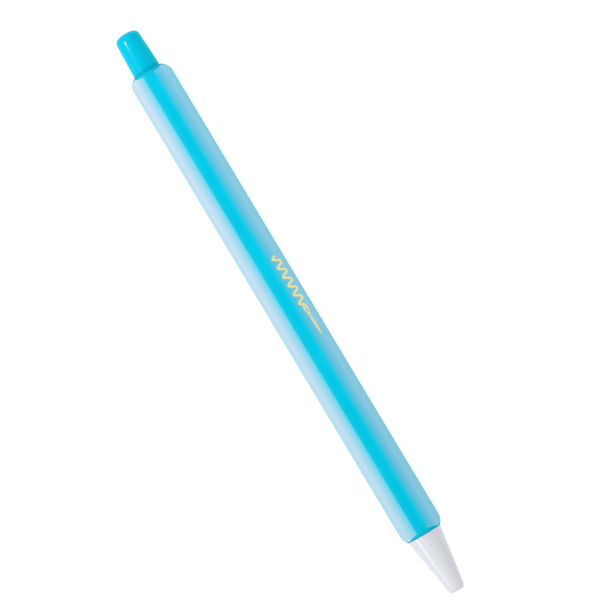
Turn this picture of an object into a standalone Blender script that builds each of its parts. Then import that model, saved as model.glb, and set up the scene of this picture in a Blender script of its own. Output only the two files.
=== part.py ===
"""A click-action fabric marking pen, lying on one face of its three-sided barrel.

The pen's axis runs along X: the push button is at -X and the writing tip at +X. One corner of the
barrel points up, and the flat land of its lower panel rests on the plane z = 0. The tip is drawn in.

Every round piece is written as a set of columns. A column is the closed outline of the piece, in
(x, radius), at one angle round the pen's axis, and the mesh is skinned from each column to the next.
"""

import math

import bmesh
import bpy
from mathutils import Vector

MM = 0.001

# ---- Driving dimensions -----------------------------------------------------------------------

PEN_LENGTH = 140 * MM  # button at rest, tip drawn in
NOSE_LENGTH = 14.1 * MM  # the white cone that shows in front of the barrel
BUTTON_SHOWS = 9.5 * MM  # how far the button stands out of the barrel
CLICK_TRAVEL = 4.8 * MM  # stroke of the button, and of the refill with it
LATCH_TRAVEL = 4.2 * MM  # where the cam's fins clear the ribs and hold the tip out
TIP_RECESS = 1.35 * MM  # how far the ball sits inside the nose at rest

BARREL_WIDTH = 9.76 * MM  # across the two lower corners
CORNER_ROUND = 2.1 * MM  # radius of the barrel's three long corners
FACE_REACH = 4.35 * MM  # axis to the middle of a crowned face
LAND_REACH = 4.30 * MM  # axis to the flat land that a face rests on
STRIPE_HALF = math.radians(13.8)  # half of the coloured stripe that shows at each corner
PANEL_DEPTH = 0.55 * MM  # thickness of a frosted panel at mid face
PANEL_EDGE_DEPTH = 0.22 * MM  # and along its two long edges

PANEL_LIP = 0.09 * MM  # least height of the outside over the recess, where a panel starts
END_LENGTH = 2.4 * MM  # length over which the barrel rounds over at each end
END_POWER = 3.0  # shape of that rounding
REAR_END_RADIUS = 3.45 * MM  # round rim that the button slides into
FRONT_END_RADIUS = 4.00 * MM  # round face that the nose closes against
REAR_COLLAR = (0.40 * MM, 1.15 * MM)  # the core's bare end: at mid face, and beside a stripe
FRONT_COLLAR = (0.15 * MM, 0.86 * MM)
COLLAR_POWER = 1.5  # shape of the panels' arched ends

FIT = 0.05 * MM  # gap between pieces that are pressed, moulded or screwed together
SLIDE_FIT = 0.07 * MM  # radial gap of pieces that slide or turn in one another

# ---- Stations along the axis ------------------------------------------------------------------

BUTTON_END_X = -PEN_LENGTH / 2
NOSE_TIP_X = PEN_LENGTH / 2
BARREL_REAR_X = BUTTON_END_X + BUTTON_SHOWS
BARREL_FRONT_X = NOSE_TIP_X - NOSE_LENGTH
AXIS_HEIGHT = LAND_REACH

BUTTON_BASE_RADIUS = REAR_END_RADIUS - 0.25 * MM - SLIDE_FIT
BUTTON_TOP_RADIUS = 2.80 * MM
BUTTON_FLAT_RADIUS = 1.2 * MM
BUTTON_SKIRT = 2.5 * MM  # length of skirt inside the barrel at rest

COUNTERBORE_DEPTH = 8.5 * MM  # room for the button's skirt to travel
WEB = 1.2 * MM  # ring inside the barrel that the cam sleeve is pushed back against
SLEEVE_REAR_X = BARREL_REAR_X + COUNTERBORE_DEPTH + WEB + FIT
SLEEVE_LENGTH = 13.2 * MM
SLEEVE_RADIUS = 2.70 * MM
SLOT_RADIUS = 2.30 * MM
RIB_RADIUS = 1.75 * MM
RIB_COUNT = 4
SLOT_HALF = math.radians(27)
RIB_FRONT_X = SLEEVE_REAR_X + 9.2 * MM

STEM_RADIUS = 1.66 * MM  # plunger tube
STEM_BORE = 1.05 * MM
LUG_RADIUS = SLOT_RADIUS - 0.1 * MM
LUG_HALF = math.radians(7.5)
LUG_LENGTH = 2.7 * MM
TOOTH_COUNT = 8
TOOTH_HEIGHT = 0.7 * MM
PLUNGER_REAR_X = BUTTON_END_X + 1.8 * MM
LUG_REAR_X = SLEEVE_REAR_X + 0.1 * MM
PLUNGER_FRONT_X = LUG_REAR_X + 4.1 * MM

ROTOR_REAR_X = PLUNGER_FRONT_X + 0.1 * MM
ROTOR_STEM_RADIUS = STEM_BORE - 0.1 * MM
ROTOR_STEM_LENGTH = 3.2 * MM
ROTOR_RADIUS = STEM_RADIUS
FIN_RADIUS = LUG_RADIUS
FIN_HALF = math.radians(6.5)
FIN_START = math.radians(-19.5)  # from the middle of a slot; the stroke carries it over to a rib
FIN_REAR_X = RIB_FRONT_X - LATCH_TRAVEL
FIN_LENGTH = 5.2 * MM
ROTOR_FRONT_X = FIN_REAR_X + 6.2 * MM

BORE_RADIUS = SLEEVE_RADIUS + FIT  # the barrel's main bore
THREAD_PITCH = 1.25 * MM
THREAD_DEPTH = 0.26 * MM
THREAD_LENGTH = 4.0 * MM
NUT_CREST_RADIUS = 3.04 * MM  # the barrel's thread
SCREW_CREST_RADIUS = NUT_CREST_RADIUS - 0.08 * MM  # the nose's thread
SPIGOT_LENGTH = 7.2 * MM
SPIGOT_REAR_X = BARREL_FRONT_X - SPIGOT_LENGTH

NOSE_BASE_RADIUS = FRONT_END_RADIUS
NOSE_TIP_RADIUS = 2.02 * MM
NOSE_TIP_ROUND = 1.35 * MM  # axial length of the rounded tip
NOSE_END_FACE = 1.50 * MM  # outer radius of the flat at the very end
TIP_BORE = 1.30 * MM
SPRING_CHAMBER = 2.10 * MM
SPRING_SEAT_X = NOSE_TIP_X - 7.4 * MM

REFILL_TAIL_X = ROTOR_FRONT_X + 0.1 * MM
TUBE_RADIUS = 1.90 * MM
TUBE_BORE = 1.48 * MM
TUBE_REAR_X = REFILL_TAIL_X + 1.0 * MM
TUBE_FRONT_X = BARREL_FRONT_X - 11.9 * MM
PLUG_RADIUS = TUBE_BORE - FIT
HOLDER_SHOULDER_X = TUBE_FRONT_X + 2.4 * MM
HOLDER_RADIUS = 1.38 * MM
HOLDER_FRONT_X = SPRING_SEAT_X - CLICK_TRAVEL - 0.3 * MM  # stops short of the spring's seat
INK_REAR_X = -10 * MM
FOLLOWER_LENGTH = 7 * MM
FLOAT_RADIUS = 1.0 * MM
FLOAT_LENGTH = 4.5 * MM
CHECK_BALL_RADIUS = 0.6 * MM
CHAMBER_LENGTH = 1.6 * MM  # room in the holder for the check ball

BALL_RADIUS = 0.35 * MM
BALL_X = NOSE_TIP_X - TIP_RECESS - BALL_RADIUS
POINT_RADIUS = 1.15 * MM
POINT_BORE = 0.50 * MM
POINT_CHANNEL = 0.20 * MM
POINT_INSERT_RADIUS = 0.75 * MM
POINT_INSERT_LENGTH = 3.0 * MM
POINT_REAR_X = HOLDER_FRONT_X + FIT
CHECK_BALL_X = POINT_REAR_X - POINT_INSERT_LENGTH - 0.85 * MM

SPRING_WIRE = 0.18 * MM
SPRING_RADIUS = 1.70 * MM
SPRING_TURNS = 10
BALL_SPRING_WIRE = 0.06 * MM
BALL_SPRING_RADIUS = 0.34 * MM
BALL_SPRING_TURNS = 8

ROUND_STEPS = 36  # columns round a turned piece
FACE_STEPS = 10  # columns across one panel
STRIPE_STEPS = 4  # columns across one corner stripe
END_STEPS = 3  # rings in each half of the barrel's rounded ends
WELD = 0.0002 * MM

THIRD = 2 * math.pi / 3
UP = math.pi / 2  # the first corner's direction


# ---- The barrel's cross-section ---------------------------------------------------------------


def corner_centre():
    """Distance of a corner circle's centre from the axis, which sets the barrel's width."""
    return (BARREL_WIDTH / 2 - CORNER_ROUND) / math.cos(math.pi / 6)


def face_arc():
    """(distance of the crowned face's centre beyond the axis, its radius), tangent to the corners."""
    reach = FACE_REACH - CORNER_ROUND
    centre = corner_centre()
    beyond = (centre**2 - reach**2) / (2 * reach - centre)
    return beyond, beyond + FACE_REACH


def from_corner(angle):
    """Angle to the nearest corner's direction, from 0 at a corner to 60 degrees at mid face."""
    return abs((angle - UP + THIRD / 2) % THIRD - THIRD / 2)


def section_radius(angle):
    """Distance from the axis to the barrel's outside in that direction."""
    centre = corner_centre()
    beyond, arc = face_arc()
    spread = math.asin(math.sin(math.pi / 3) * beyond / (arc - CORNER_ROUND))
    join = math.atan2(
        CORNER_ROUND * math.sin(spread), centre + CORNER_ROUND * math.cos(spread)
    )
    turn = from_corner(angle)
    if turn <= join:
        across = centre * math.sin(turn)
        return centre * math.cos(turn) + math.sqrt(CORNER_ROUND**2 - across**2)
    off_face = math.pi / 3 - turn
    crowned = math.sqrt(arc**2 - (beyond * math.sin(off_face)) ** 2) - beyond * math.cos(off_face)
    return min(crowned, LAND_REACH / math.cos(off_face))


def floor_radius(angle):
    """Distance from the axis to the bottom of the recess that a panel fills."""
    edge = math.pi / 3 - STRIPE_HALF
    edge_radius = section_radius(UP + STRIPE_HALF) - PANEL_EDGE_DEPTH
    middle = LAND_REACH - PANEL_DEPTH
    half_chord = edge_radius * math.sin(edge)
    rise = middle - edge_radius * math.cos(edge)
    arc = (half_chord**2 + rise**2) / (2 * rise)
    beyond = arc - middle
    off_face = math.pi / 3 - from_corner(angle)
    return math.sqrt(arc**2 - (beyond * math.sin(off_face)) ** 2) - beyond * math.cos(off_face)


def envelope(angle, share, end_radius):
    """Outside radius at a share of the end rounding: 0 at the end face, 1 where it is over."""
    fullness = 1 - (1 - share) ** END_POWER
    return end_radius + (section_radius(angle) - end_radius) * fullness


def share_at(angle, radius, end_radius):
    """The share of the end rounding where the envelope reaches that radius."""
    fullness = (radius - end_radius) / (section_radius(angle) - end_radius)
    return 0.0 if fullness <= 0 else 1 - (1 - fullness) ** (1 / END_POWER)


def spread(first, last, count):
    """count + 1 values from first to last."""
    return [first + (last - first) * i / count for i in range(count + 1)]


# ---- Mesh builders ----------------------------------------------------------------------------


def plastic(name, colour, roughness=0.4, metallic=0.0):
    material = bpy.data.materials.new(name)
    material.use_nodes = True
    shader = material.node_tree.nodes["Principled BSDF"]
    shader.inputs["Base Color"].default_value = (*colour, 1)
    shader.inputs["Roughness"].default_value = roughness
    shader.inputs["Metallic"].default_value = metallic
    return material


def finish_object(name, mesh_builder, material, parent):
    """Welds, orients and links a mesh whose points are on the parent's axis."""
    bmesh.ops.remove_doubles(mesh_builder, verts=mesh_builder.verts, dist=WELD)
    bmesh.ops.dissolve_degenerate(mesh_builder, edges=mesh_builder.edges, dist=WELD)
    bmesh.ops.recalc_face_normals(mesh_builder, faces=mesh_builder.faces)
    mesh = bpy.data.meshes.new(name)
    mesh_builder.to_mesh(mesh)
    mesh_builder.free()
    mesh.shade_smooth()
    mesh.set_sharp_from_angle(angle=math.radians(35))
    mesh.materials.append(material)
    made = bpy.data.objects.new(name, mesh)
    bpy.context.scene.collection.objects.link(made)
    made.parent = parent
    return made


def from_columns(name, angles, columns, material, parent, capped=False):
    """A mesh skinned from each column to the next. A full turn repeats its first angle at its end."""
    builder = bmesh.new()
    rows = []
    for angle, column in zip(angles, columns):
        across, up = math.cos(angle), math.sin(angle)
        rows.append([builder.verts.new((x, r * across, r * up)) for x, r in column])
    count = len(rows[0])
    for near, far in zip(rows, rows[1:]):
        for i in range(count):
            j = (i + 1) % count
            builder.faces.new((near[i], near[j], far[j], far[i]))
    if capped:
        builder.faces.new(rows[0])
        builder.faces.new(list(reversed(rows[-1])))
    return finish_object(name, builder, material, parent)


def turned(name, outline, material, parent, steps=ROUND_STEPS):
    """A body of revolution from its closed outline in (x, radius)."""
    angles = spread(0, 2 * math.pi, steps)
    return from_columns(name, angles, [outline] * (steps + 1), material, parent)


def wire(name, path, radius, material, parent, sides=6):
    """A round wire along a path of points, with flat ends."""
    builder = bmesh.new()
    rings = []
    side = None
    for i, point in enumerate(path):
        before, after = path[max(i - 1, 0)], path[min(i + 1, len(path) - 1)]
        along = (after - before).normalized()
        side = along.orthogonal() if side is None else side
        side = (side - along * side.dot(along)).normalized()
        other = along.cross(side)
        rings.append(
            [
                builder.verts.new(
                    point
                    + side * radius * math.cos(2 * math.pi * k / sides)
                    + other * radius * math.sin(2 * math.pi * k / sides)
                )
                for k in range(sides)
            ]
        )
    for near, far in zip(rings, rings[1:]):
        for k in range(sides):
            j = (k + 1) % sides
            builder.faces.new((near[k], near[j], far[j], far[k]))
    builder.faces.new(rings[0])
    builder.faces.new(list(reversed(rings[-1])))
    return finish_object(name, builder, material, parent)


def thread_points(angle, first_x, last_x, root, crest):
    """Where one column cuts a helical thread, kept between the two end planes."""
    corners = ((0.0, root), (0.40, crest), (0.70, crest))
    lead = THREAD_PITCH * angle / (2 * math.pi)
    turns = math.ceil((last_x - first_x) / THREAD_PITCH) + 1

    def radius_at(x):
        phase = ((x - first_x - lead) / THREAD_PITCH) % 1
        before = [c for c in corners if c[0] <= phase][-1]
        after = ([c for c in corners if c[0] > phase] + [(1.0, root)])[0]
        share = (phase - before[0]) / (after[0] - before[0])
        return before[1] + (after[1] - before[1]) * share

    points = []
    for turn in range(-1, turns):
        for phase, radius in corners:
            x = first_x + lead + THREAD_PITCH * (turn + phase)
            if first_x < x < last_x:
                points.append((x, radius))
            else:
                x = min(max(x, first_x), last_x)
                points.append((x, radius_at(x)))
    return points


# ---- The barrel -------------------------------------------------------------------------------


def barrel_columns():
    """(angle, True where a panel covers the core) for every column round the core, stripe by stripe."""
    for corner in range(3):
        middle = UP + THIRD * corner
        for angle in spread(middle - STRIPE_HALF, middle + STRIPE_HALF, STRIPE_STEPS):
            yield angle, False
        face_end = middle + THIRD - STRIPE_HALF
        for angle in spread(middle + STRIPE_HALF, face_end, FACE_STEPS):
            yield angle, True
    yield UP + 2 * math.pi - STRIPE_HALF, False


def panel_start(angle, end_radius, collar):
    """Distance from the barrel's end face to where its recess for a panel starts."""
    bare_middle, bare_edge = collar
    off_edge = (from_corner(angle) - STRIPE_HALF) / (math.pi / 3 - STRIPE_HALF)
    arch = bare_middle + (bare_edge - bare_middle) * (1 - min(max(off_edge, 0), 1) ** COLLAR_POWER)
    clears = share_at(angle, floor_radius(angle) + PANEL_LIP, end_radius) * END_LENGTH
    return max(arch, clears)


def core_end(angle, under_panel, end_radius, collar):
    """[(distance from the end face, radius)] of the core's outside as it rounds over."""
    start = panel_start(angle if under_panel else UP + STRIPE_HALF, end_radius, collar)
    points = []
    for share in spread(0, start / END_LENGTH, END_STEPS):
        points.append((share * END_LENGTH, envelope(angle, share, end_radius)))
    for share in spread(start / END_LENGTH, 1, END_STEPS):
        radius = floor_radius(angle) if under_panel else envelope(angle, share, end_radius)
        points.append((share * END_LENGTH, radius))
    return points


def barrel_core(material, parent):
    """The coloured inner barrel: three corner stripes show, and its faces are recessed for the panels."""
    web_front_x = SLEEVE_REAR_X - FIT
    web_rear_x = BARREL_REAR_X + COUNTERBORE_DEPTH
    thread_x = SPIGOT_REAR_X - 0.5 * MM
    thread_end_x = thread_x + THREAD_LENGTH
    nut_root = NUT_CREST_RADIUS + THREAD_DEPTH
    angles, columns = [], []
    for angle, under_panel in barrel_columns():
        rear = core_end(angle, under_panel, REAR_END_RADIUS, REAR_COLLAR)
        front = core_end(angle, under_panel, FRONT_END_RADIUS, FRONT_COLLAR)
        column = [(BARREL_REAR_X + x, r) for x, r in rear]
        column += [(BARREL_FRONT_X - x, r) for x, r in reversed(front)]
        turn = angle - UP + STRIPE_HALF
        thread = thread_points(turn, thread_x, thread_end_x, nut_root, NUT_CREST_RADIUS)
        column += [(BARREL_FRONT_X, NUT_CREST_RADIUS), (thread_end_x, NUT_CREST_RADIUS)]
        column += reversed(thread)
        column += [
            (thread_x, BORE_RADIUS),
            (web_front_x, BORE_RADIUS),
            (web_front_x, RIB_RADIUS),
            (web_rear_x, RIB_RADIUS),
            (web_rear_x, BUTTON_BASE_RADIUS + SLIDE_FIT),
            (BARREL_REAR_X, BUTTON_BASE_RADIUS + SLIDE_FIT),
        ]
        angles.append(angle)
        columns.append(column)
    return from_columns("barrel_core", angles, columns, material, parent)


def panel(name, face, material, parent):
    """One frosted panel, filling the recess between two corner stripes."""
    face_angle = UP + THIRD * (face + 0.5)
    side_gap = FIT / section_radius(UP + STRIPE_HALF)
    half = math.pi / 3 - STRIPE_HALF - side_gap
    angles, columns = spread(face_angle - half, face_angle + half, FACE_STEPS), []
    for angle in angles:
        bottom = floor_radius(angle) + FIT
        rear_share = (panel_start(angle, REAR_END_RADIUS, REAR_COLLAR) + FIT) / END_LENGTH
        front_share = (panel_start(angle, FRONT_END_RADIUS, FRONT_COLLAR) + FIT) / END_LENGTH
        rear = [
            (BARREL_REAR_X + share * END_LENGTH, envelope(angle, share, REAR_END_RADIUS))
            for share in spread(rear_share, 1, 2 * END_STEPS - 2)
        ]
        front = [
            (BARREL_FRONT_X - share * END_LENGTH, envelope(angle, share, FRONT_END_RADIUS))
            for share in spread(1, front_share, 2 * END_STEPS - 2)
        ]
        columns.append([(rear[0][0], bottom)] + rear + front + [(front[-1][0], bottom)])
    return from_columns(name, angles, columns, material, parent, capped=True)


# ---- Button and click mechanism ---------------------------------------------------------------


def push_button(material, parent):
    """The button's cap: a low domed end, a slight taper, and a skirt that stays inside the barrel."""
    end = BUTTON_END_X
    skirt_x = BARREL_REAR_X + BUTTON_SKIRT
    socket = STEM_RADIUS + FIT
    outline = [
        (end, 0),
        (end, BUTTON_FLAT_RADIUS),
        (end + 0.22 * MM, 1.90 * MM),
        (end + 0.50 * MM, 2.38 * MM),
        (end + 0.85 * MM, 2.65 * MM),
        (end + 1.40 * MM, BUTTON_TOP_RADIUS),
        (BARREL_REAR_X, BUTTON_BASE_RADIUS),
        (skirt_x, BUTTON_BASE_RADIUS),
        (skirt_x, 2.4 * MM),
        (BARREL_REAR_X - 1.5 * MM, 2.4 * MM),
        (BARREL_REAR_X - 2.2 * MM, socket),
        (PLUNGER_REAR_X - FIT, socket),
        (PLUNGER_REAR_X - FIT, 0),
    ]
    return turned("push_button", outline, material, parent)


def crown(angle, count):
    """Height share, 0 to 1, of a ring of triangular teeth."""
    phase = (angle * count / (2 * math.pi)) % 1
    return 2 * phase if phase < 0.5 else 2 - 2 * phase


def lobed_angles(count, middle, half, step_target):
    """(angle, on a lobe) round a full turn, with both values given where a lobe starts and ends."""
    pitch = 2 * math.pi / count
    gap = pitch - 2 * half
    lobe_steps = max(2, round(2 * half / step_target))
    gap_steps = max(2, round(gap / step_target))
    for k in range(count):
        start = middle + pitch * k - half
        for angle in spread(start, start + 2 * half, lobe_steps):
            yield angle, True
        for angle in spread(start + 2 * half, start + pitch, gap_steps):
            yield angle, False
    yield middle + 2 * math.pi - half, True


def cam_sleeve(material, parent):
    """The fixed sleeve, with four ribs inside that guide the plunger and hold the rotor."""
    front_x = SLEEVE_REAR_X + SLEEVE_LENGTH
    rib_half = math.pi / RIB_COUNT - SLOT_HALF
    angles, columns = [], []
    for angle, on_rib in lobed_angles(RIB_COUNT, math.pi / RIB_COUNT, rib_half, math.radians(9)):
        slope = ((angle % (2 * math.pi / RIB_COUNT)) - SLOT_HALF) / (2 * rib_half)
        rib_x = RIB_FRONT_X - 0.4 * MM * min(max(slope, 0), 1)
        inside = RIB_RADIUS if on_rib else SLOT_RADIUS
        angles.append(angle)
        columns.append(
            [
                (SLEEVE_REAR_X, SLEEVE_RADIUS),
                (front_x, SLEEVE_RADIUS),
                (front_x, SLOT_RADIUS),
                (rib_x, SLOT_RADIUS),
                (rib_x, inside),
                (SLEEVE_REAR_X, inside),
            ]
        )
    return from_columns("cam_sleeve", angles, columns, material, parent)


def plunger(material, parent):
    """The tube under the button: guide lugs in the sleeve's slots, and a crown of teeth in front."""
    angles, columns = [], []
    for angle, on_lug in lobed_angles(RIB_COUNT, 0, LUG_HALF, math.radians(7.5)):
        tooth_x = PLUNGER_FRONT_X - TOOTH_HEIGHT * crown(angle, TOOTH_COUNT)
        outside = LUG_RADIUS if on_lug else STEM_RADIUS
        lug_front_x = LUG_REAR_X + LUG_LENGTH
        angles.append(angle)
        columns.append(
            [
                (PLUNGER_REAR_X, STEM_BORE),
                (PLUNGER_REAR_X, STEM_RADIUS),
                (LUG_REAR_X, STEM_RADIUS),
                (LUG_REAR_X, outside),
                (lug_front_x, outside),
                (lug_front_x, STEM_RADIUS),
                (tooth_x, STEM_RADIUS),
                (tooth_x, STEM_BORE),
            ]
        )
    return from_columns("plunger", angles, columns, material, parent)


def cam_rotor(material, parent):
    """The turning cam: teeth towards the plunger, fins for the ribs, a stem that keeps it centred."""
    angles, columns = [], []
    for angle, on_fin in lobed_angles(RIB_COUNT, FIN_START, FIN_HALF, math.radians(6.5)):
        tooth_x = ROTOR_REAR_X + TOOTH_HEIGHT * crown(angle, TOOTH_COUNT)
        outside = FIN_RADIUS if on_fin else ROTOR_RADIUS
        from_edge = (angle - FIN_START + FIN_HALF) % (2 * math.pi / RIB_COUNT)
        fin_x = FIN_REAR_X + 0.3 * MM * min(from_edge / (2 * FIN_HALF), 1)
        fin_x = max(fin_x, tooth_x + 0.05 * MM)
        angles.append(angle)
        columns.append(
            [
                (ROTOR_REAR_X - ROTOR_STEM_LENGTH, 0),
                (ROTOR_REAR_X - ROTOR_STEM_LENGTH, ROTOR_STEM_RADIUS),
                (tooth_x, ROTOR_STEM_RADIUS),
                (tooth_x, ROTOR_RADIUS),
                (fin_x, ROTOR_RADIUS),
                (fin_x, outside),
                (FIN_REAR_X + FIN_LENGTH, outside),
                (FIN_REAR_X + FIN_LENGTH, ROTOR_RADIUS),
                (ROTOR_FRONT_X, ROTOR_RADIUS),
                (ROTOR_FRONT_X, 0),
            ]
        )
    return from_columns("cam_rotor", angles, columns, material, parent)


# ---- Nose and spring --------------------------------------------------------------------------


def nose_cone(material, parent):
    """The screw-on cone, with its threaded spigot, spring chamber and the bore that the tip leaves by."""
    shoulder_x = BARREL_FRONT_X + FIT
    round_x = NOSE_TIP_X - NOSE_TIP_ROUND
    neck = SCREW_CREST_RADIUS - THREAD_DEPTH
    thread_end_x = SPIGOT_REAR_X + THREAD_LENGTH
    outside = [(shoulder_x, NOSE_BASE_RADIUS - 0.12 * MM), (shoulder_x + 0.12 * MM, NOSE_BASE_RADIUS)]
    for share in spread(0, 1, 5):
        drop = 1 - math.sqrt(1 - share**2)
        radius = NOSE_TIP_RADIUS - (NOSE_TIP_RADIUS - NOSE_END_FACE) * drop
        outside.append((round_x + NOSE_TIP_ROUND * math.sin(share * math.pi / 2), radius))
    inside = [
        (NOSE_TIP_X, TIP_BORE),
        (SPRING_SEAT_X, TIP_BORE),
        (SPRING_SEAT_X, SPRING_CHAMBER),
        (SPIGOT_REAR_X, SPRING_CHAMBER),
    ]
    angles, columns = spread(0, 2 * math.pi, ROUND_STEPS), []
    for angle in angles:
        thread = thread_points(angle, SPIGOT_REAR_X, thread_end_x, neck, SCREW_CREST_RADIUS)
        columns.append(thread + [(thread_end_x, neck), (shoulder_x, neck)] + outside + inside)
    return from_columns("nose_cone", angles, columns, material, parent)


def coil(first_x, last_x, radius, wire_radius, turns, steps_per_turn):
    """Points of a compression spring whose first and last turns are closed up."""
    closed = wire_radius * 2.2
    open_pitch = (last_x - first_x - 2 * wire_radius - 2 * closed) / (turns - 2)
    x = first_x + wire_radius
    points = []
    for i in range(turns * steps_per_turn + 1):
        turn = i / steps_per_turn
        angle = 2 * math.pi * turn
        points.append(Vector((x, radius * math.cos(angle), radius * math.sin(angle))))
        pitch = closed if turn < 1 or turn >= turns - 1 else open_pitch
        x += pitch / steps_per_turn
    return points


def return_spring(material, parent):
    path = coil(
        HOLDER_SHOULDER_X + FIT,
        SPRING_SEAT_X - FIT,
        SPRING_RADIUS,
        SPRING_WIRE,
        SPRING_TURNS,
        12,
    )
    return wire("return_spring", path, SPRING_WIRE, material, parent)


# ---- Refill -----------------------------------------------------------------------------------


def refill_tube(material, parent):
    outline = [
        (TUBE_REAR_X, TUBE_BORE),
        (TUBE_REAR_X, TUBE_RADIUS),
        (TUBE_FRONT_X, TUBE_RADIUS),
        (TUBE_FRONT_X, TUBE_BORE),
    ]
    return turned("refill_tube", outline, material, parent)


def tail_plug(material, parent):
    """The vented plug that the cam pushes on."""
    vent = 0.35 * MM
    outline = [
        (REFILL_TAIL_X, vent),
        (REFILL_TAIL_X, TUBE_RADIUS - 0.1 * MM),
        (TUBE_REAR_X - FIT, TUBE_RADIUS - 0.1 * MM),
        (TUBE_REAR_X - FIT, PLUG_RADIUS),
        (TUBE_REAR_X + 4 * MM, PLUG_RADIUS),
        (TUBE_REAR_X + 4 * MM, vent),
    ]
    return turned("tail_plug", outline, material, parent, steps=28)


def cylinder(name, first_x, last_x, radius, material, parent):
    outline = [(first_x, 0), (first_x, radius), (last_x, radius), (last_x, 0)]
    return turned(name, outline, material, parent, steps=28)


def ink_column(material, parent):
    return cylinder("ink_column", INK_REAR_X, TUBE_FRONT_X - 4.1 * MM, PLUG_RADIUS, material, parent)


def ink_follower(material, parent):
    """The slug of grease behind the ink, with a pocket where its float lies."""
    front_x = INK_REAR_X - FIT
    rear_x = front_x - FOLLOWER_LENGTH
    pocket_x = rear_x + FLOAT_LENGTH + FIT
    outline = [
        (rear_x, FLOAT_RADIUS + FIT),
        (rear_x, PLUG_RADIUS),
        (front_x, PLUG_RADIUS),
        (front_x, 0),
        (pocket_x, 0),
        (pocket_x, FLOAT_RADIUS + FIT),
    ]
    return turned("ink_follower", outline, material, parent, steps=28)


def follower_float(material, parent):
    """The plastic rod that keeps the grease in one piece as it moves down the tube."""
    rear_x = INK_REAR_X - FIT - FOLLOWER_LENGTH
    return cylinder("follower_float", rear_x, rear_x + FLOAT_LENGTH, FLOAT_RADIUS, material, parent)


def ball(name, x, radius, material, parent):
    """A round ball centred that far along the pen's axis."""
    builder = bmesh.new()
    bmesh.ops.create_uvsphere(builder, u_segments=16, v_segments=10, radius=radius)
    bmesh.ops.translate(builder, verts=builder.verts, vec=(x, 0, 0))
    return finish_object(name, builder, material, parent)


def tip_holder(material, parent):
    """The moulded piece between the tube and the metal point. Its shoulder carries the spring."""
    channel = 0.45 * MM
    chamber = 0.80 * MM
    seat_x = POINT_REAR_X - POINT_INSERT_LENGTH - FIT
    outline = [
        (TUBE_FRONT_X - 4 * MM, channel),
        (TUBE_FRONT_X - 4 * MM, PLUG_RADIUS),
        (TUBE_FRONT_X + FIT, PLUG_RADIUS),
        (TUBE_FRONT_X + FIT, TUBE_RADIUS),
        (HOLDER_SHOULDER_X, TUBE_RADIUS),
        (HOLDER_SHOULDER_X, HOLDER_RADIUS),
        (HOLDER_FRONT_X - 1.4 * MM, HOLDER_RADIUS),
        (HOLDER_FRONT_X, POINT_RADIUS + 0.05 * MM),
        (HOLDER_FRONT_X, POINT_INSERT_RADIUS + FIT),
        (seat_x, POINT_INSERT_RADIUS + FIT),
        (seat_x, chamber),
        (seat_x - CHAMBER_LENGTH, chamber),
        (seat_x - CHAMBER_LENGTH - 0.5 * MM, channel),
    ]
    return turned("tip_holder", outline, material, parent)


def tip_point(material, parent):
    """The metal point: a cylinder, a cone, and the lip that is rolled in to hold the ball."""
    insert_x = POINT_REAR_X - POINT_INSERT_LENGTH
    cone_x = BALL_X - 2.4 * MM
    outline = [
        (insert_x, POINT_BORE),
        (insert_x, POINT_INSERT_RADIUS),
        (POINT_REAR_X, POINT_INSERT_RADIUS),
        (POINT_REAR_X, POINT_RADIUS),
        (cone_x, POINT_RADIUS),
        (BALL_X - 0.15 * MM, 0.50 * MM),
        (BALL_X + 0.12 * MM, 0.42 * MM),
        (BALL_X + 0.12 * MM, 0.352 * MM),
        (BALL_X, 0.385 * MM),
        (BALL_X - 0.18 * MM, 0.34 * MM),
        (BALL_X - 0.34 * MM, POINT_CHANNEL),
        (cone_x, POINT_CHANNEL),
        (cone_x - 0.2 * MM, POINT_BORE),
    ]
    return turned("tip_point", outline, material, parent, steps=32)


def ball_spring(material, parent):
    """The hair spring in the point, whose straight end holds the ball against its lip."""
    rear_x = POINT_REAR_X - POINT_INSERT_LENGTH + 0.1 * MM
    front_x = BALL_X - 3.2 * MM
    steps = 10
    path = coil(rear_x, front_x, BALL_SPRING_RADIUS, BALL_SPRING_WIRE, BALL_SPRING_TURNS, steps)
    last = path[-1]
    for share in spread(0, 1, 4)[1:]:
        reach = BALL_SPRING_RADIUS * (1 - share)
        angle = share * math.pi / 2
        x = last.x + 0.35 * MM * share
        path.append(Vector((x, reach * math.cos(angle), reach * math.sin(angle))))
    path.append(Vector((BALL_X - BALL_RADIUS - 0.06 * MM, 0, 0)))
    return wire("ball_spring", path, BALL_SPRING_WIRE, material, parent, sides=5)


# ---- Assembly ---------------------------------------------------------------------------------


def joint_empty(name, parent, x=0.0):
    """An empty on the pen's axis, which the pieces of one moving body hang from."""
    made = bpy.data.objects.new(name, None)
    made.empty_display_size = 5 * MM
    bpy.context.scene.collection.objects.link(made)
    made.parent = parent
    made.location = (x, 0, 0)
    return made


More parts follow.
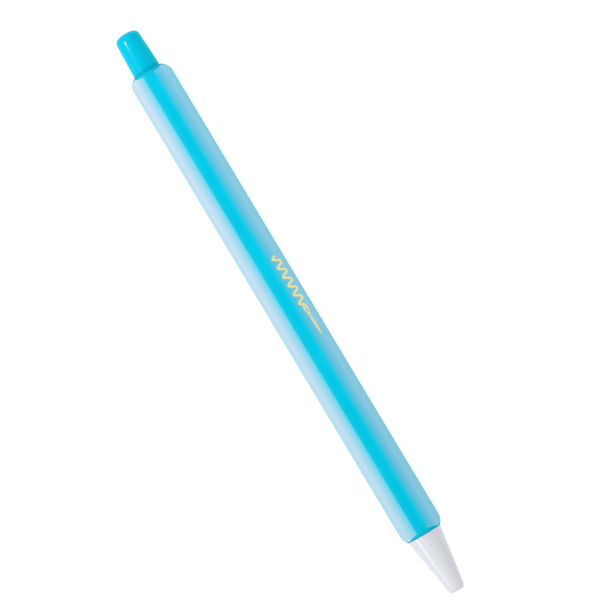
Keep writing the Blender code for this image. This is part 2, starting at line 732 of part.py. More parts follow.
def main():
    for old in list(bpy.data.objects):
        bpy.data.objects.remove(old)

    core = plastic("core_plastic", (0.0, 0.55, 0.80), 0.25)
    frosted = plastic("frosted_plastic", (0.55, 0.75, 0.88), 0.45)
    button = plastic("button_plastic", (0.0, 0.55, 0.80), 0.2)
    white = plastic("white_plastic", (0.82, 0.83, 0.86), 0.3)
    acetal = plastic("cam_plastic", (0.85, 0.85, 0.80), 0.35)
    clear = plastic("refill_plastic", (0.80, 0.86, 0.88), 0.2)
    holder = plastic("holder_plastic", (0.75, 0.80, 0.84), 0.35)
    ink = plastic("ink", (0.03, 0.16, 0.55), 0.1)
    grease = plastic("grease", (0.85, 0.83, 0.60), 0.1)
    steel = plastic("spring_steel", (0.60, 0.60, 0.61), 0.25, 1.0)
    nickel = plastic("point_metal", (0.66, 0.63, 0.56), 0.25, 1.0)
    carbide = plastic("ball_carbide", (0.35, 0.35, 0.36), 0.1, 1.0)

    pen = joint_empty("pen_axis", None)
    pen.location.z = AXIS_HEIGHT
    button_press = joint_empty("button_press", pen, BARREL_REAR_X)
    tip_advance = joint_empty("tip_advance", pen, TUBE_FRONT_X)
    cam_turn = joint_empty("cam_turn", tip_advance, ROTOR_FRONT_X - TUBE_FRONT_X)
    nose_travel = joint_empty("nose_travel", pen, BARREL_FRONT_X)
    nose_turn = joint_empty("nose_turn", nose_travel)

    barrel_core(core, pen)
    for face, name in enumerate(("panel_left", "panel_bottom", "panel_right")):
        panel(name, face, frosted, pen)
    cam_sleeve(acetal, pen)

    on_joint = {
        button_press: (push_button(button, button_press), plunger(acetal, button_press)),
        cam_turn: (cam_rotor(acetal, cam_turn),),
        nose_travel: (return_spring(steel, nose_travel),),
        nose_turn: (nose_cone(white, nose_turn),),
        tip_advance: (
            refill_tube(clear, tip_advance),
            tail_plug(holder, tip_advance),
            ink_column(ink, tip_advance),
            ink_follower(grease, tip_advance),
            follower_float(clear, tip_advance),
            tip_holder(holder, tip_advance),
            ball("check_ball", CHECK_BALL_X, CHECK_BALL_RADIUS, steel, tip_advance),
            tip_point(nickel, tip_advance),
            ball_spring(steel, tip_advance),
            ball("tip_ball", BALL_X, BALL_RADIUS, carbide, tip_advance),
        ),
    }
    bpy.context.view_layer.update()
    for joint, pieces in on_joint.items():
        joint_x = joint.matrix_world.translation.x
        for piece in pieces:
            piece.location.x = -joint_x  # their points are measured from the middle of the pen


main()
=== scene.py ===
"""Looks of a click-action fabric marking pen: fine meshes, materials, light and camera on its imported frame.

The pen lies along X with its button at -X, and one corner of its three-sided barrel points up.
Lengths are metres, written as millimetres times MM. Each fine piece keeps its place in its vertices.
"""

from math import asin, atan2, ceil, cos, exp, hypot, pi, radians, sin, sqrt, tau

import bmesh
import bpy
from mathutils import Matrix, Vector


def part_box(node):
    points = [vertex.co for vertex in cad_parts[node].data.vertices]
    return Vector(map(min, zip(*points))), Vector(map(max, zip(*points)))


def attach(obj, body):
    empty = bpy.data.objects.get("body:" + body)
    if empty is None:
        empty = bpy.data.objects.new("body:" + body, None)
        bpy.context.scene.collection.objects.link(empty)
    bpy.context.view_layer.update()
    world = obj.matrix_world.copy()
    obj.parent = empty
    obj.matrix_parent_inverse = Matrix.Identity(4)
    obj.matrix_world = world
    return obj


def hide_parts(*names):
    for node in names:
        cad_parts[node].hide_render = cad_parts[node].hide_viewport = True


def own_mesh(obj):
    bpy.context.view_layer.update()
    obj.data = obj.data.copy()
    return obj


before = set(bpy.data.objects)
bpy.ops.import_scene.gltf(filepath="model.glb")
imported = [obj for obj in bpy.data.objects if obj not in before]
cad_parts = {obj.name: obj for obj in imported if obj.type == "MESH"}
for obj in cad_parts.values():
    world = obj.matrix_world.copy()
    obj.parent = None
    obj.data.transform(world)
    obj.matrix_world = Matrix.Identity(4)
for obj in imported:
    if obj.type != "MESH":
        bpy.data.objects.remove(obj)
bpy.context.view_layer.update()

MM = 0.001

# ---- Sizes that the frame gives ----

core_low, core_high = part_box("barrel_core")
nose_low, nose_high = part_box("nose_cone")
button_low, button_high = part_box("push_button")

REAR_X = core_low.x  # of the barrel
FRONT_X = core_high.x
BARREL_WIDTH = core_high.y - core_low.y
BUTTON_END_X = button_low.x
BUTTON_SKIRT_X = button_high.x
NOSE_TIP_X = nose_high.x
SPIGOT_REAR_X = nose_low.x
AXIS_Z = (nose_low.z + nose_high.z) / 2
NOSE_BASE_RADIUS = (nose_high.z - nose_low.z) / 2

# ---- Sizes as the part has them ----
# A lead-in is the rounded mouth of a hole: (behind the end face, wider than the hole), in mm.

CORNER_ROUND = 2.1 * MM
CORNER_CENTRE = (BARREL_WIDTH / 2 - CORNER_ROUND) / cos(pi / 6)  # of its circle, from the axis
FACE_REACH = 4.35 * MM
LAND_REACH = AXIS_Z  # from the axis to the flat land along the middle of each face
STRIPE_HALF = radians(13.8)
PANEL_DEPTH = 0.55 * MM
PANEL_EDGE_DEPTH = 0.22 * MM
END_LENGTH = 2.4 * MM
END_POWER = 3.0
# Each end face's radius, and how long the core's bare end is at mid face and beside a stripe.
REAR_END = (3.45 * MM, 0.40 * MM, 1.15 * MM)
FRONT_END = (4.00 * MM, 0.15 * MM, 0.86 * MM)
COLLAR_POWER = 1.5
PANEL_LIP = 0.09 * MM
END_RIM = ((0.0, 0.07), (0.006, 0.02))  # mm behind the end face, and inside its radius
END_RIM_SHARE = 0.02  # the share of the end rounding where that rim is over

BUTTON_BASE_RADIUS = 3.13 * MM
BUTTON_TOP_RADIUS = 2.83 * MM
BUTTON_FLAT_RADIUS = 0.6 * MM  # of the flat middle of its end
BUTTON_DOME = 1.5 * MM
DOME_POWERS = (0.9, 0.72)  # of the superellipse, along and across the axis
BUTTON_TAPER_POWER = 1.35
SKIRT_BORE = 2.4 * MM
STEM_SOCKET = 1.71 * MM
BUTTON_HOLE_RADIUS = 3.20 * MM
BUTTON_HOLE_LEAD_IN = ((0.24, 0.0), (0.07, 0.11), (0.015, 0.16))
COUNTERBORE_DEPTH = 8.5 * MM
WEB = 1.2 * MM
WEB_RADIUS = 1.75 * MM
BORE_RADIUS = 2.75 * MM
CHAMFER = 0.1 * MM

THREAD_PITCH = 1.25 * MM
THREAD_DEPTH = 0.26 * MM
THREAD_LENGTH = 4.0 * MM
THREAD_SHAPE = (0.0, 0.08, 0.36, 0.40, 0.70, 0.96)  # shares of a pitch: two root, three crest, root
THREAD_RUNOUT = 0.5 * MM
NUT_CREST_RADIUS = 3.04 * MM
SCREW_CREST_RADIUS = 2.96 * MM
NOSE_GAP = 0.015 * MM
NOSE_BASE_ROUND = 0.06 * MM
NOSE_TIP_RADIUS = 2.02 * MM
NOSE_TIP_ROUND = 1.35 * MM
NOSE_END_FACE = 1.42 * MM
TIP_BORE = 1.30 * MM
TIP_LEAD_IN = ((0.0, 0.08), (0.03, 0.02), (0.10, 0.0))
SPRING_CHAMBER = 2.10 * MM
SPRING_SEAT_X = NOSE_TIP_X - 7.4 * MM

THIRD = tau / 3
UP = pi / 2
SKIN_GAP = 0.004 * MM  # between a frosted panel and the core that it is moulded on

FACE_STEPS = 44
STRIPE_STEPS = 14
END_STEPS = 12
ROUND_STEPS = 128
WELD_DISTANCE = 0.0003 * MM
SHARP_ANGLE = radians(32)  # between two faces that meet in a hard edge
FILLET_REACH = 0.45  # the most of a side that a fillet may take


# ---- The barrel's cross-section ----


def face_arc():
    """(distance of a crowned face's centre beyond the axis, its radius)."""
    reach = FACE_REACH - CORNER_ROUND
    beyond = (CORNER_CENTRE**2 - reach**2) / (2 * reach - CORNER_CENTRE)
    return beyond, beyond + FACE_REACH


def from_corner(angle):
    """Angle to the nearest corner's direction."""
    return abs((angle - UP + THIRD / 2) % THIRD - THIRD / 2)


def section_radius(angle):
    """Distance from the axis to the barrel's outside in that direction."""
    beyond, arc = face_arc()
    opening = asin(sin(THIRD / 2) * beyond / (arc - CORNER_ROUND))
    join = atan2(CORNER_ROUND * sin(opening), CORNER_CENTRE + CORNER_ROUND * cos(opening))
    turn = from_corner(angle)
    if turn <= join:
        across = CORNER_CENTRE * sin(turn)
        return CORNER_CENTRE * cos(turn) + sqrt(CORNER_ROUND**2 - across**2)
    off_face = THIRD / 2 - turn
    crowned = sqrt(arc**2 - (beyond * sin(off_face)) ** 2) - beyond * cos(off_face)
    return min(crowned, LAND_REACH / cos(off_face))


def floor_radius(angle):
    """Distance from the axis to the bottom of the recess that a panel fills."""
    edge = THIRD / 2 - STRIPE_HALF
    edge_radius = section_radius(UP + STRIPE_HALF) - PANEL_EDGE_DEPTH
    middle = LAND_REACH - PANEL_DEPTH
    half_chord = edge_radius * sin(edge)
    rise = middle - edge_radius * cos(edge)
    arc = (half_chord**2 + rise**2) / (2 * rise)
    beyond = arc - middle
    off_face = THIRD / 2 - from_corner(angle)
    return sqrt(arc**2 - (beyond * sin(off_face)) ** 2) - beyond * cos(off_face)


def envelope(angle, share, end_radius):
    """Outside radius at a share of the end rounding: 0 at the end face, 1 where it is over."""
    fullness = 1 - (1 - share) ** END_POWER
    return end_radius + (section_radius(angle) - end_radius) * fullness


def share_at(angle, radius, end_radius):
    """The share of the end rounding where the envelope reaches that radius."""
    fullness = (radius - end_radius) / (section_radius(angle) - end_radius)
    return 0.0 if fullness <= 0 else 1 - (1 - fullness) ** (1 / END_POWER)


def spread(first, last, count):
    """count + 1 values from first to last."""
    return [first + (last - first) * i / count for i in range(count + 1)]


# ---- Mesh builders ----


def rounded(outline, segments=4):
    """A closed (x, radius, fillet) outline with each filleted corner turned into an arc of points."""
    points = []
    count = len(outline)
    for i, (x, r, fillet) in enumerate(outline):
        here = Vector((x, r))
        if fillet <= 0:
            points.append((x, r))
            continue
        before = Vector(outline[i - 1][:2]) - here
        after = Vector(outline[(i + 1) % count][:2]) - here
        reach = min(fillet, before.length * FILLET_REACH, after.length * FILLET_REACH)
        start = here + before.normalized() * reach
        end = here + after.normalized() * reach
        for t in spread(0, 1, segments):
            point = start * (1 - t) ** 2 + here * (2 * t * (1 - t)) + end * t**2
            points.append((point.x, point.y))
    return points


def add_object(name, data):
    made = bpy.data.objects.new(name, data)
    bpy.context.scene.collection.objects.link(made)
    return made


def finish_mesh(name, builder, material):
    """The builder's mesh as a smooth-shaded object, welded, facing outwards and in the scene."""
    bmesh.ops.remove_doubles(builder, verts=builder.verts, dist=WELD_DISTANCE)
    loose = [edge for edge in builder.edges if not edge.link_faces]
    bmesh.ops.delete(builder, geom=loose, context="EDGES")
    bmesh.ops.recalc_face_normals(builder, faces=builder.faces)
    mesh = bpy.data.meshes.new(name)
    builder.to_mesh(mesh)
    builder.free()
    mesh.shade_smooth()
    mesh.set_sharp_from_angle(angle=SHARP_ANGLE)
    mesh.materials.append(material)
    return add_object(name, mesh)


def add_attribute(made, name, value_at):
    """A number for each vertex, which a material reads by that name."""
    attribute = made.data.attributes.new(name, "FLOAT", "POINT")
    for vertex, item in zip(made.data.vertices, attribute.data):
        item.value = value_at(vertex.co)
    return made


def on_axis(x, radius, angle):
    return Vector((x, radius * cos(angle), AXIS_Z + radius * sin(angle)))


def skin(builder, rows, capped):
    """Faces from each closed row of vertices to the next, and over both ends if capped."""
    count = len(rows[0])
    for near, far in zip(rows, rows[1:]):
        for i in range(count):
            j = (i + 1) % count
            builder.faces.new((near[i], near[j], far[j], far[i]))
    if capped:
        builder.faces.new(rows[0])
        builder.faces.new(list(reversed(rows[-1])))


def from_slices(name, slices, material, capped=False):
    """A mesh skinned from each (angle, closed column of (x, radius)) to the next."""
    builder = bmesh.new()
    rows = []
    for angle, column in slices:
        rows.append([builder.verts.new(on_axis(x, r, angle)) for x, r in column])
    skin(builder, rows, capped)
    return finish_mesh(name, builder, material)


def revolved(name, column, material, steps=ROUND_STEPS):
    """A body of revolution from one closed (x, radius) column."""
    return from_slices(name, [(angle, column) for angle in spread(0, tau, steps)], material)


def turned(name, outline, material):
    """A body of revolution from a closed (x, radius, fillet) outline."""
    return revolved(name, rounded(outline), material)


def wire(name, path, radius, material, sides=16):
    """A round wire along a path of points measured from the axis, with flat ground ends."""
    builder = bmesh.new()
    rows = []
    side = None
    for i, point in enumerate(path):
        along = (path[min(i + 1, len(path) - 1)] - path[max(i - 1, 0)]).normalized()
        side = along.orthogonal() if side is None else side - along * side.dot(along)
        side.normalize()
        other = along.cross(side)
        centre = point + Vector((0, 0, AXIS_Z))
        row = []
        for k in range(sides):
            turn = tau * k / sides
            outward = side * cos(turn) + other * sin(turn)
            row.append(builder.verts.new(centre + radius * outward))
        rows.append(row)
    skin(builder, rows, capped=True)
    return finish_mesh(name, builder, material)


def thread_points(angle, first_x, last_x, root, crest):
    """Where one column cuts a helical thread, kept between the two end planes."""
    corners = list(zip(THREAD_SHAPE, (root, root, crest, crest, crest, root)))
    lead = THREAD_PITCH * angle / tau
    turns = ceil((last_x - first_x) / THREAD_PITCH) + 1

    def radius_at(x):
        phase = ((x - first_x - lead) / THREAD_PITCH) % 1
        before = [c for c in corners if c[0] <= phase][-1]
        after = ([c for c in corners if c[0] > phase] + [(1.0, root)])[0]
        share = (phase - before[0]) / (after[0] - before[0])
        return before[1] + (after[1] - before[1]) * share

    points = []
    for turn in range(-1, turns):
        for phase, radius in corners:
            x = first_x + lead + THREAD_PITCH * (turn + phase)
            if first_x < x < last_x:
                points.append((x, radius))
            else:
                x = min(max(x, first_x), last_x)
                points.append((x, radius_at(x)))
    return points


# ---- Materials ----

SCUFF_TOP = 0.74  # the noise value where a scuff is at its full depth


class Nodes:
    """Short calls that add shader nodes to a tree."""

    def __init__(self, tree):
        self.tree = tree

    def node(self, kind, **settings):
        made = self.tree.nodes.new("ShaderNode" + kind)
        for key, value in settings.items():
            setattr(made, key, value)
        return made

    def link(self, source, target):
        self.tree.links.new(source, target)

    def fill(self, sockets, values):
        """Links each value to its socket, or sets a number or a colour there."""
        for socket, value in zip(sockets, values):
            if isinstance(value, (int, float)):
                socket.default_value = value
            elif isinstance(value, tuple):
                socket.default_value = (*value, 1)
            else:
                self.link(value, socket)

    def spread(self, value, low, high, to_low, to_high, smooth=False):
        """Maps value from low..high to to_low..to_high, held at both ends."""
        shape = "SMOOTHSTEP" if smooth else "LINEAR"
        made = self.node("MapRange", interpolation_type=shape)
        self.fill(made.inputs[:5], (value, low, high, to_low, to_high))
        return made.outputs["Result"]

    def maths(self, operation, *values):
        made = self.node("Math", operation=operation)
        self.fill(made.inputs, values)
        return made.outputs[0]


class Finish(Nodes):
    """One procedural material on a Principled shader, patterned by its place on the piece in mm."""

    def __init__(self, name, roughness, specular=0.5, metallic=0.0):
        self.material = bpy.data.materials.new(name)
        self.material.use_nodes = True
        super().__init__(self.material.node_tree)
        self.shader = self.tree.nodes["Principled BSDF"]
        self.set("Specular IOR Level", specular)
        self.set("Metallic", metallic)
        self.set("Roughness", roughness)
        place = self.node("TexCoord").outputs["Object"]
        in_mm = self.node("VectorMath", operation="SCALE")
        in_mm.inputs["Scale"].default_value = 1 / MM
        self.link(place, in_mm.inputs[0])
        self.place = in_mm.outputs[0]

    def set(self, socket, value):
        self.shader.inputs[socket].default_value = value

    def noise(self, per_mm, stretch=(1, 1, 1), detail=2.0, shift=0.0):
        """Noise of that many features a millimetre, drawn out along an axis by a small stretch."""
        scaled = self.node("Mapping")
        scaled.inputs["Scale"].default_value = [per_mm * s for s in stretch]
        scaled.inputs["Location"].default_value = (shift, shift, shift)
        self.link(self.place, scaled.inputs["Vector"])
        made = self.node("TexNoise")
        made.inputs["Scale"].default_value = 1.0
        made.inputs["Detail"].default_value = detail
        self.link(scaled.outputs[0], made.inputs["Vector"])
        return made.outputs["Fac"]

    def blend(self, factor, first, second, mode="MIX"):
        made = self.node("Mix", data_type="RGBA", blend_type=mode)
        sockets = (made.inputs["Factor"], made.inputs[6], made.inputs[7])
        self.fill(sockets, (factor, first, second))
        return made.outputs[2]

    def vary(self, pattern, to_low, to_high):
        """A value that a noise carries from to_low to to_high."""
        return self.spread(pattern, 0.25, 0.75, to_low, to_high)

    def mottle(self, pattern, dark, light, low=0.3, high=0.7):
        """Two colours mixed by a noise, whose values lie mostly between low and high."""
        return self.blend(self.spread(pattern, low, high, 0, 1), dark, light)

    def attribute(self, name):
        return self.node("Attribute", attribute_name=name).outputs["Fac"]

    def with_painted_shading(self, colour):
        """The colour times the attribute of painted light and shade, which is 1 where none is painted."""
        return self.blend(1.0, colour, self.attribute("painted_shading"), mode="MULTIPLY")

    def scuffs(self, per_mm, stretch, shift, low):
        """1 on hairline scuffs along the pen, 0 elsewhere."""
        marks = self.noise(per_mm, stretch=(stretch, 1, 1), detail=4, shift=shift)
        return self.spread(marks, low, SCUFF_TOP, 0, 1, smooth=True)

    def colour(self, source):
        self.link(source, self.shader.inputs["Base Color"])

    def roughen(self, source):
        self.link(source, self.shader.inputs["Roughness"])

    def relief(self, height, depth_mm, under=None):
        """Bump of that depth from a height of 0 to 1, laid over the bump called under."""
        made = self.node("Bump")
        made.inputs["Distance"].default_value = depth_mm * MM
        self.link(height, made.inputs["Height"])
        if under is not None:
            self.link(under, made.inputs["Normal"])
        self.link(made.outputs[0], self.shader.inputs["Normal"])
        return made.outputs[0]


def moulded_cyan(name, light, deep, roughness, specular, grain_mm):
    """Through-coloured cyan plastic with faint flow marks, a fine moulded grain and hairline scuffs."""
    f = Finish(name, roughness, specular)
    flow = f.noise(0.22, stretch=(0.25, 1, 1), detail=3)
    # The piece's painted light and shade darken or lighten this colour.
    colour = f.with_painted_shading(f.mottle(flow, deep, light))
    scuffs = f.scuffs(3.2, 0.12, 7, 0.62)
    f.colour(f.blend(f.maths("MULTIPLY", scuffs, 0.05), colour, (0.25, 0.75, 0.9)))
    cloud = f.noise(1.3, detail=3, shift=3)
    rough = f.vary(cloud, roughness * 0.88, roughness * 1.14)
    f.roughen(f.maths("ADD", rough, f.maths("MULTIPLY", scuffs, roughness * 0.24)))
    grain = f.relief(f.noise(14, detail=2, shift=11), grain_mm)
    f.relief(scuffs, -grain_mm, under=grain)
    return f.material


def frosted(name, cyan, milk_white):
    """Milky polypropylene over the cyan core. The attribute "milk" is how much white shows."""
    f = Finish(name, 0.42, 0.15)
    cloud = f.noise(0.35, stretch=(0.3, 1, 1), detail=3, shift=5)
    milk = f.maths("MULTIPLY", f.attribute("milk"), f.vary(cloud, 0.96, 1.04))
    # The piece's painted light and shade darken or lighten this colour.
    f.colour(f.with_painted_shading(f.blend(milk, cyan, milk_white)))
    satin = f.noise(2.0, stretch=(0.5, 1, 1), detail=4, shift=9)
    scuffs = f.scuffs(3.0, 0.1, 17, 0.60)
    rough = f.vary(satin, 0.38, 0.50)
    f.roughen(f.maths("ADD", rough, f.maths("MULTIPLY", scuffs, 0.12)))
    grain = f.relief(f.noise(11, detail=3, shift=21), 0.0025)
    f.relief(scuffs, -0.0015, under=grain)
    f.set("Sheen Weight", 0.04)
    f.set("Sheen Roughness", 0.35)
    return f.material


def white_plastic():
    """The cone's glossy white, a little bluish and very slightly cloudy."""
    f = Finish("nose_white", 0.20, 0.38)
    flow = f.noise(0.3, stretch=(0.4, 1, 1), detail=3, shift=1)
    # The piece's painted light and shade darken or lighten this colour.
    f.colour(f.with_painted_shading(f.mottle(flow, (0.678, 0.695, 0.738), (0.702, 0.718, 0.760))))
    cloud = f.noise(0.7, detail=1, shift=4)
    f.roughen(f.vary(cloud, 0.16, 0.20))
    f.relief(f.noise(6, detail=1, shift=13), 0.0002)
    return f.material


def gold_foil():
    """Hot-stamped foil with a fine grain."""
    f = Finish("gold_foil", 0.38, 0.5, metallic=0.05)
    grain = f.noise(7, detail=3)
    f.colour(f.mottle(grain, (1.0, 0.76, 0.22), (1.0, 0.86, 0.32)))
    f.roughen(f.spread(grain, 0.2, 0.8, 0.3, 0.46))
    f.relief(f.noise(18, detail=2, shift=5), 0.0015)
    return f.material


def natural_plastic(name, light, dark, roughness, transmission=0.0):
    """Unpainted moulded plastic, a little cloudy, with a fine grain. Some of it lets light through."""
    f = Finish(name, roughness, 0.5)
    cloud = f.noise(0.8, stretch=(0.4, 1, 1), detail=4, shift=2)
    f.colour(f.mottle(cloud, dark, light))
    satin = f.noise(2.6, detail=3, shift=6)
    f.roughen(f.vary(satin, roughness - 0.04, roughness + 0.08))
    f.relief(f.noise(12, detail=2, shift=15), 0.0015)
    f.set("Transmission Weight", transmission)
    f.set("IOR", 1.49)
    return f.material


def fluid(name, thin, deep, roughness):
    """Ink or grease: streaks of thinner and deeper colour under a wet surface."""
    f = Finish(name, roughness, 0.6)
    streak = f.noise(0.9, stretch=(0.2, 1, 1), detail=4, shift=8)
    f.colour(f.mottle(streak, deep, thin, 0.35, 0.65))
    ripple = f.noise(1.6, detail=2, shift=12)
    f.roughen(f.spread(ripple, 0.3, 0.7, roughness, roughness + 0.10))
    f.relief(ripple, 0.006)
    return f.material


def bare_metal(name, light, dark, roughness, marks_per_mm, stretch):
    """Metal with the marks that drawing or turning leaves, and a few dull spots."""
    f = Finish(name, roughness, 0.5, metallic=1.0)
    marks = f.noise(marks_per_mm, stretch=stretch, detail=3, shift=4)
    f.colour(f.mottle(marks, dark, light))
    dull = f.spread(f.noise(1.9, detail=4, shift=19), 0.58, 0.75, 0, 0.16, smooth=True)
    rough = f.vary(marks, roughness - 0.05, roughness + 0.06)
    f.roughen(f.maths("ADD", rough, dull))
    f.relief(marks, 0.0008)
    return f.material


# ---- Barrel ----


def barrel_columns():
    """(angle, True where a panel covers the core) for every column round the core."""
    for corner in range(3):
        middle = UP + THIRD * corner
        for angle in spread(middle - STRIPE_HALF, middle + STRIPE_HALF, STRIPE_STEPS):
            yield angle, False
        face_end = middle + THIRD - STRIPE_HALF
        for angle in spread(middle + STRIPE_HALF, face_end, FACE_STEPS):
            yield angle, True
    yield UP + tau - STRIPE_HALF, False


def panel_start(angle, end):
    """Distance from the barrel's end face to where its recess for a panel starts."""
    end_radius, bare_middle, bare_edge = end
    off_edge = (from_corner(angle) - STRIPE_HALF) / (THIRD / 2 - STRIPE_HALF)
    arch = bare_middle + (bare_edge - bare_middle) * (1 - min(max(off_edge, 0), 1) ** COLLAR_POWER)
    clears = share_at(angle, floor_radius(angle) + PANEL_LIP, end_radius) * END_LENGTH
    return max(arch, clears)


def core_end(angle, under_panel, end):
    """[(distance from the end face, radius)] of the core's outside as it rounds over."""
    start = panel_start(angle if under_panel else UP + STRIPE_HALF, end) / END_LENGTH
    points = [(x * MM, end[0] - inset * MM) for x, inset in END_RIM]
    for share in spread(END_RIM_SHARE, start, END_STEPS):
        points.append((share * END_LENGTH, envelope(angle, share, end[0])))
    for share in spread(start, 1, 2 * END_STEPS):
        radius = floor_radius(angle) if under_panel else envelope(angle, share, end[0])
        points.append((share * END_LENGTH, radius))
    return points


def along_barrel(rear, front):
    """One column from what core_end or panel_end gives for both ends."""
    column = [(REAR_X + x, r) for x, r in rear]
    return column + [(FRONT_X - x, r) for x, r in reversed(front)]


def barrel_share(x):
    """0 at the barrel's rear end face, 1 at its front one."""
    return (x - REAR_X) / (FRONT_X - REAR_X)


REAR_COLLAR_SHADE = 0.31  # painted shade: how much darker the colour is painted at the core's end faces, where shade falls
FRONT_COLLAR_SHADE = 0.50
FRONT_COLLAR_PAINTED_LIGHT = 0.13  # painted light: how much lighter the bare front collar is painted behind that
REAR_SHADE_REACH = 0.30  # as a share of the end rounding
FRONT_SHADE_REACH = 0.10
FRONT_PAINTED_LIGHT_REACH = 0.45
PAINTED_LIGHT_MIDDLE = 0.02  # painted light: how much lighter the top stripe is painted along its middle
PAINTED_LIGHT_SLOPE = 0.187  # and painted light on its side away from the key light, less on the side towards it
PAINTED_LIGHT_EDGES = 0.135  # and painted light along both its edges
PAINTED_LIGHT_LIMIT = 1.05  # in half stripes, just past its edges
# Painted shade: the barrel darkens towards the nose, where less of the key light falls.
CORE_PAINTED_FRONT_SHADE = 0.07
PAINTED_FRONT_SHADE_POWER = 6


def painted_front_shade_factor(x, fall):
    """Less than 1 where painted shade darkens the barrel towards the nose, by that share at its end."""
    return 1 - fall * max(barrel_share(x), 0) ** PAINTED_FRONT_SHADE_POWER


def barrel_core(material):
    """The core: stripes, recesses and bare ends outside, the button's and nose's sockets inside."""
    web_rear_x = REAR_X + COUNTERBORE_DEPTH
    web_front_x = web_rear_x + WEB
    thread_x = SPIGOT_REAR_X - THREAD_RUNOUT
    thread_end_x = thread_x + THREAD_LENGTH
    nut_root = NUT_CREST_RADIUS + THREAD_DEPTH
    slices = []
    for angle, under_panel in barrel_columns():
        rear = core_end(angle, under_panel, REAR_END)
        column = along_barrel(rear, core_end(angle, under_panel, FRONT_END))
        column += [
            (FRONT_X, NUT_CREST_RADIUS + CHAMFER),
            (FRONT_X - CHAMFER, NUT_CREST_RADIUS),
            (thread_end_x, NUT_CREST_RADIUS),
        ]
        turn = angle - UP + STRIPE_HALF
        column += reversed(thread_points(turn, thread_x, thread_end_x, nut_root, NUT_CREST_RADIUS))
        column += [
            (thread_x, BORE_RADIUS),
            (web_front_x, BORE_RADIUS),
            (web_front_x, WEB_RADIUS),
            (web_rear_x, WEB_RADIUS),
            (web_rear_x, BUTTON_HOLE_RADIUS),
        ]
        for x, wider in BUTTON_HOLE_LEAD_IN:
            column.append((REAR_X + x * MM, BUTTON_HOLE_RADIUS + wider * MM))
        slices.append((angle, column))
    made = from_slices("moulded_core", slices, material)

    # Painted light and shade: the top stripe evened out against the key light, painted shade at both end
    # collars, painted light behind the front collar, and painted shade towards the nose.
    def painted_shading_at(point):
        side = atan2(point.y, point.z - AXIS_Z) / STRIPE_HALF
        from_rear = (point.x - REAR_X) / END_LENGTH
        from_front = (FRONT_X - point.x) / END_LENGTH
        fade = min(max(min(from_rear, from_front), 0), 1)
        across = PAINTED_LIGHT_MIDDLE + PAINTED_LIGHT_SLOPE * side + PAINTED_LIGHT_EDGES * side**2
        painted_shading = 1 + across * fade if abs(side) < PAINTED_LIGHT_LIMIT else 1
        rear_shade = REAR_COLLAR_SHADE * exp(-from_rear / REAR_SHADE_REACH)
        front_shade = FRONT_COLLAR_SHADE * exp(-from_front / FRONT_SHADE_REACH)
        painted_light = FRONT_COLLAR_PAINTED_LIGHT * exp(-from_front / FRONT_PAINTED_LIGHT_REACH)
        painted_shading *= painted_front_shade_factor(point.x, CORE_PAINTED_FRONT_SHADE) * (1 - rear_shade)
        return painted_shading * (1 + painted_light - front_shade)

    return add_attribute(made, "painted_shading", painted_shading_at)


LOWER_SIDE = 0.05  # a side panel's lower half is where its direction's sine is under this
LOWER_SHARE = 0.50  # how much of that half its edge takes
LOWER_EDGE_POWER = 0.06
# Painted shade along a side panel's lower edge: from this angle down, growing over this span.
LOWER_SHADE_TOP = radians(2)
LOWER_SHADE_SPAN = radians(10)
CLEAR_EDGE = radians(0.4)  # the strip along a panel's long edges with no milk
RIM_MILK = 0.09  # the extra white of a panel's rounded ends
RIM_MILK_REACH = 0.5 * MM


def milk_at(angle, strength, power):
    """How white a panel looks there: nothing at its long edges, most at the middle of the face."""
    edge = STRIPE_HALF + CLEAR_EDGE
    share = max((from_corner(angle) - edge) / (THIRD / 2 - edge), 0)
    if sin(angle) < LOWER_SIDE and share < LOWER_SHARE:
        # A side panel's lower edge stays milky until it meets the stripe.
        return strength * LOWER_SHARE**power * (share / LOWER_SHARE) ** LOWER_EDGE_POWER
    return strength * share**power


def panel_end(angle, end):
    """[(distance from the end face, radius)] of a panel's outside as it rounds over."""
    start = (panel_start(angle, end) + SKIN_GAP) / END_LENGTH
    shares = spread(start, 1, 2 * END_STEPS)
    return [(share * END_LENGTH, envelope(angle, share, end[0])) for share in shares]


def panel(name, face, material, strength, power, thinning=0.0, lower_shade=0.0, painted_front_shade=0.0):
    """One frosted panel, filling the recess between two corner stripes.

    Its milk has that strength at mid face and that power towards its long edges, and loses the
    share called thinning by the nose. Painted shade darkens it by lower_shade along its lower edge,
    and by the last argument at the front end.
    """
    face_angle = UP + THIRD * (face + 0.5)
    side_gap = SKIN_GAP / section_radius(UP + STRIPE_HALF)
    half = THIRD / 2 - STRIPE_HALF - side_gap
    slices = []
    for angle in spread(face_angle - half, face_angle + half, FACE_STEPS):
        bottom = floor_radius(angle) + SKIN_GAP
        outside = along_barrel(panel_end(angle, REAR_END), panel_end(angle, FRONT_END))
        slices.append((angle, [(outside[0][0], bottom)] + outside + [(outside[-1][0], bottom)]))
    made = from_slices(name, slices, material, capped=True)

    def milk_of(point):
        angle = atan2(point.z - AXIS_Z, point.y)
        rear_x = REAR_X + panel_start(angle, REAR_END)
        front_x = FRONT_X - panel_start(angle, FRONT_END)
        inside = max(0.0, min(point.x - rear_x, front_x - point.x))
        body = milk_at(angle, strength, power) * (1 - thinning * barrel_share(point.x))
        return body + RIM_MILK * exp(-inside / RIM_MILK_REACH)

    # Painted shade: darker along a side panel's lower edge and towards the nose.
    def painted_shading_at(point):
        angle = atan2(point.z - AXIS_Z, abs(point.y))
        low_side = min(max(LOWER_SHADE_TOP - angle, 0) / LOWER_SHADE_SPAN, 1)
        return painted_front_shade_factor(point.x, painted_front_shade) * (1 - lower_shade * low_side)

    add_attribute(made, "milk", milk_of)
    return add_attribute(made, "painted_shading", painted_shading_at)


# ---- Button and nose ----


BUTTON_BASE_SHADE = 0.20  # painted shade: how much darker the colour is painted where the button enters the barrel, where shade falls
BUTTON_SHADE_REACH = 0.35 * MM


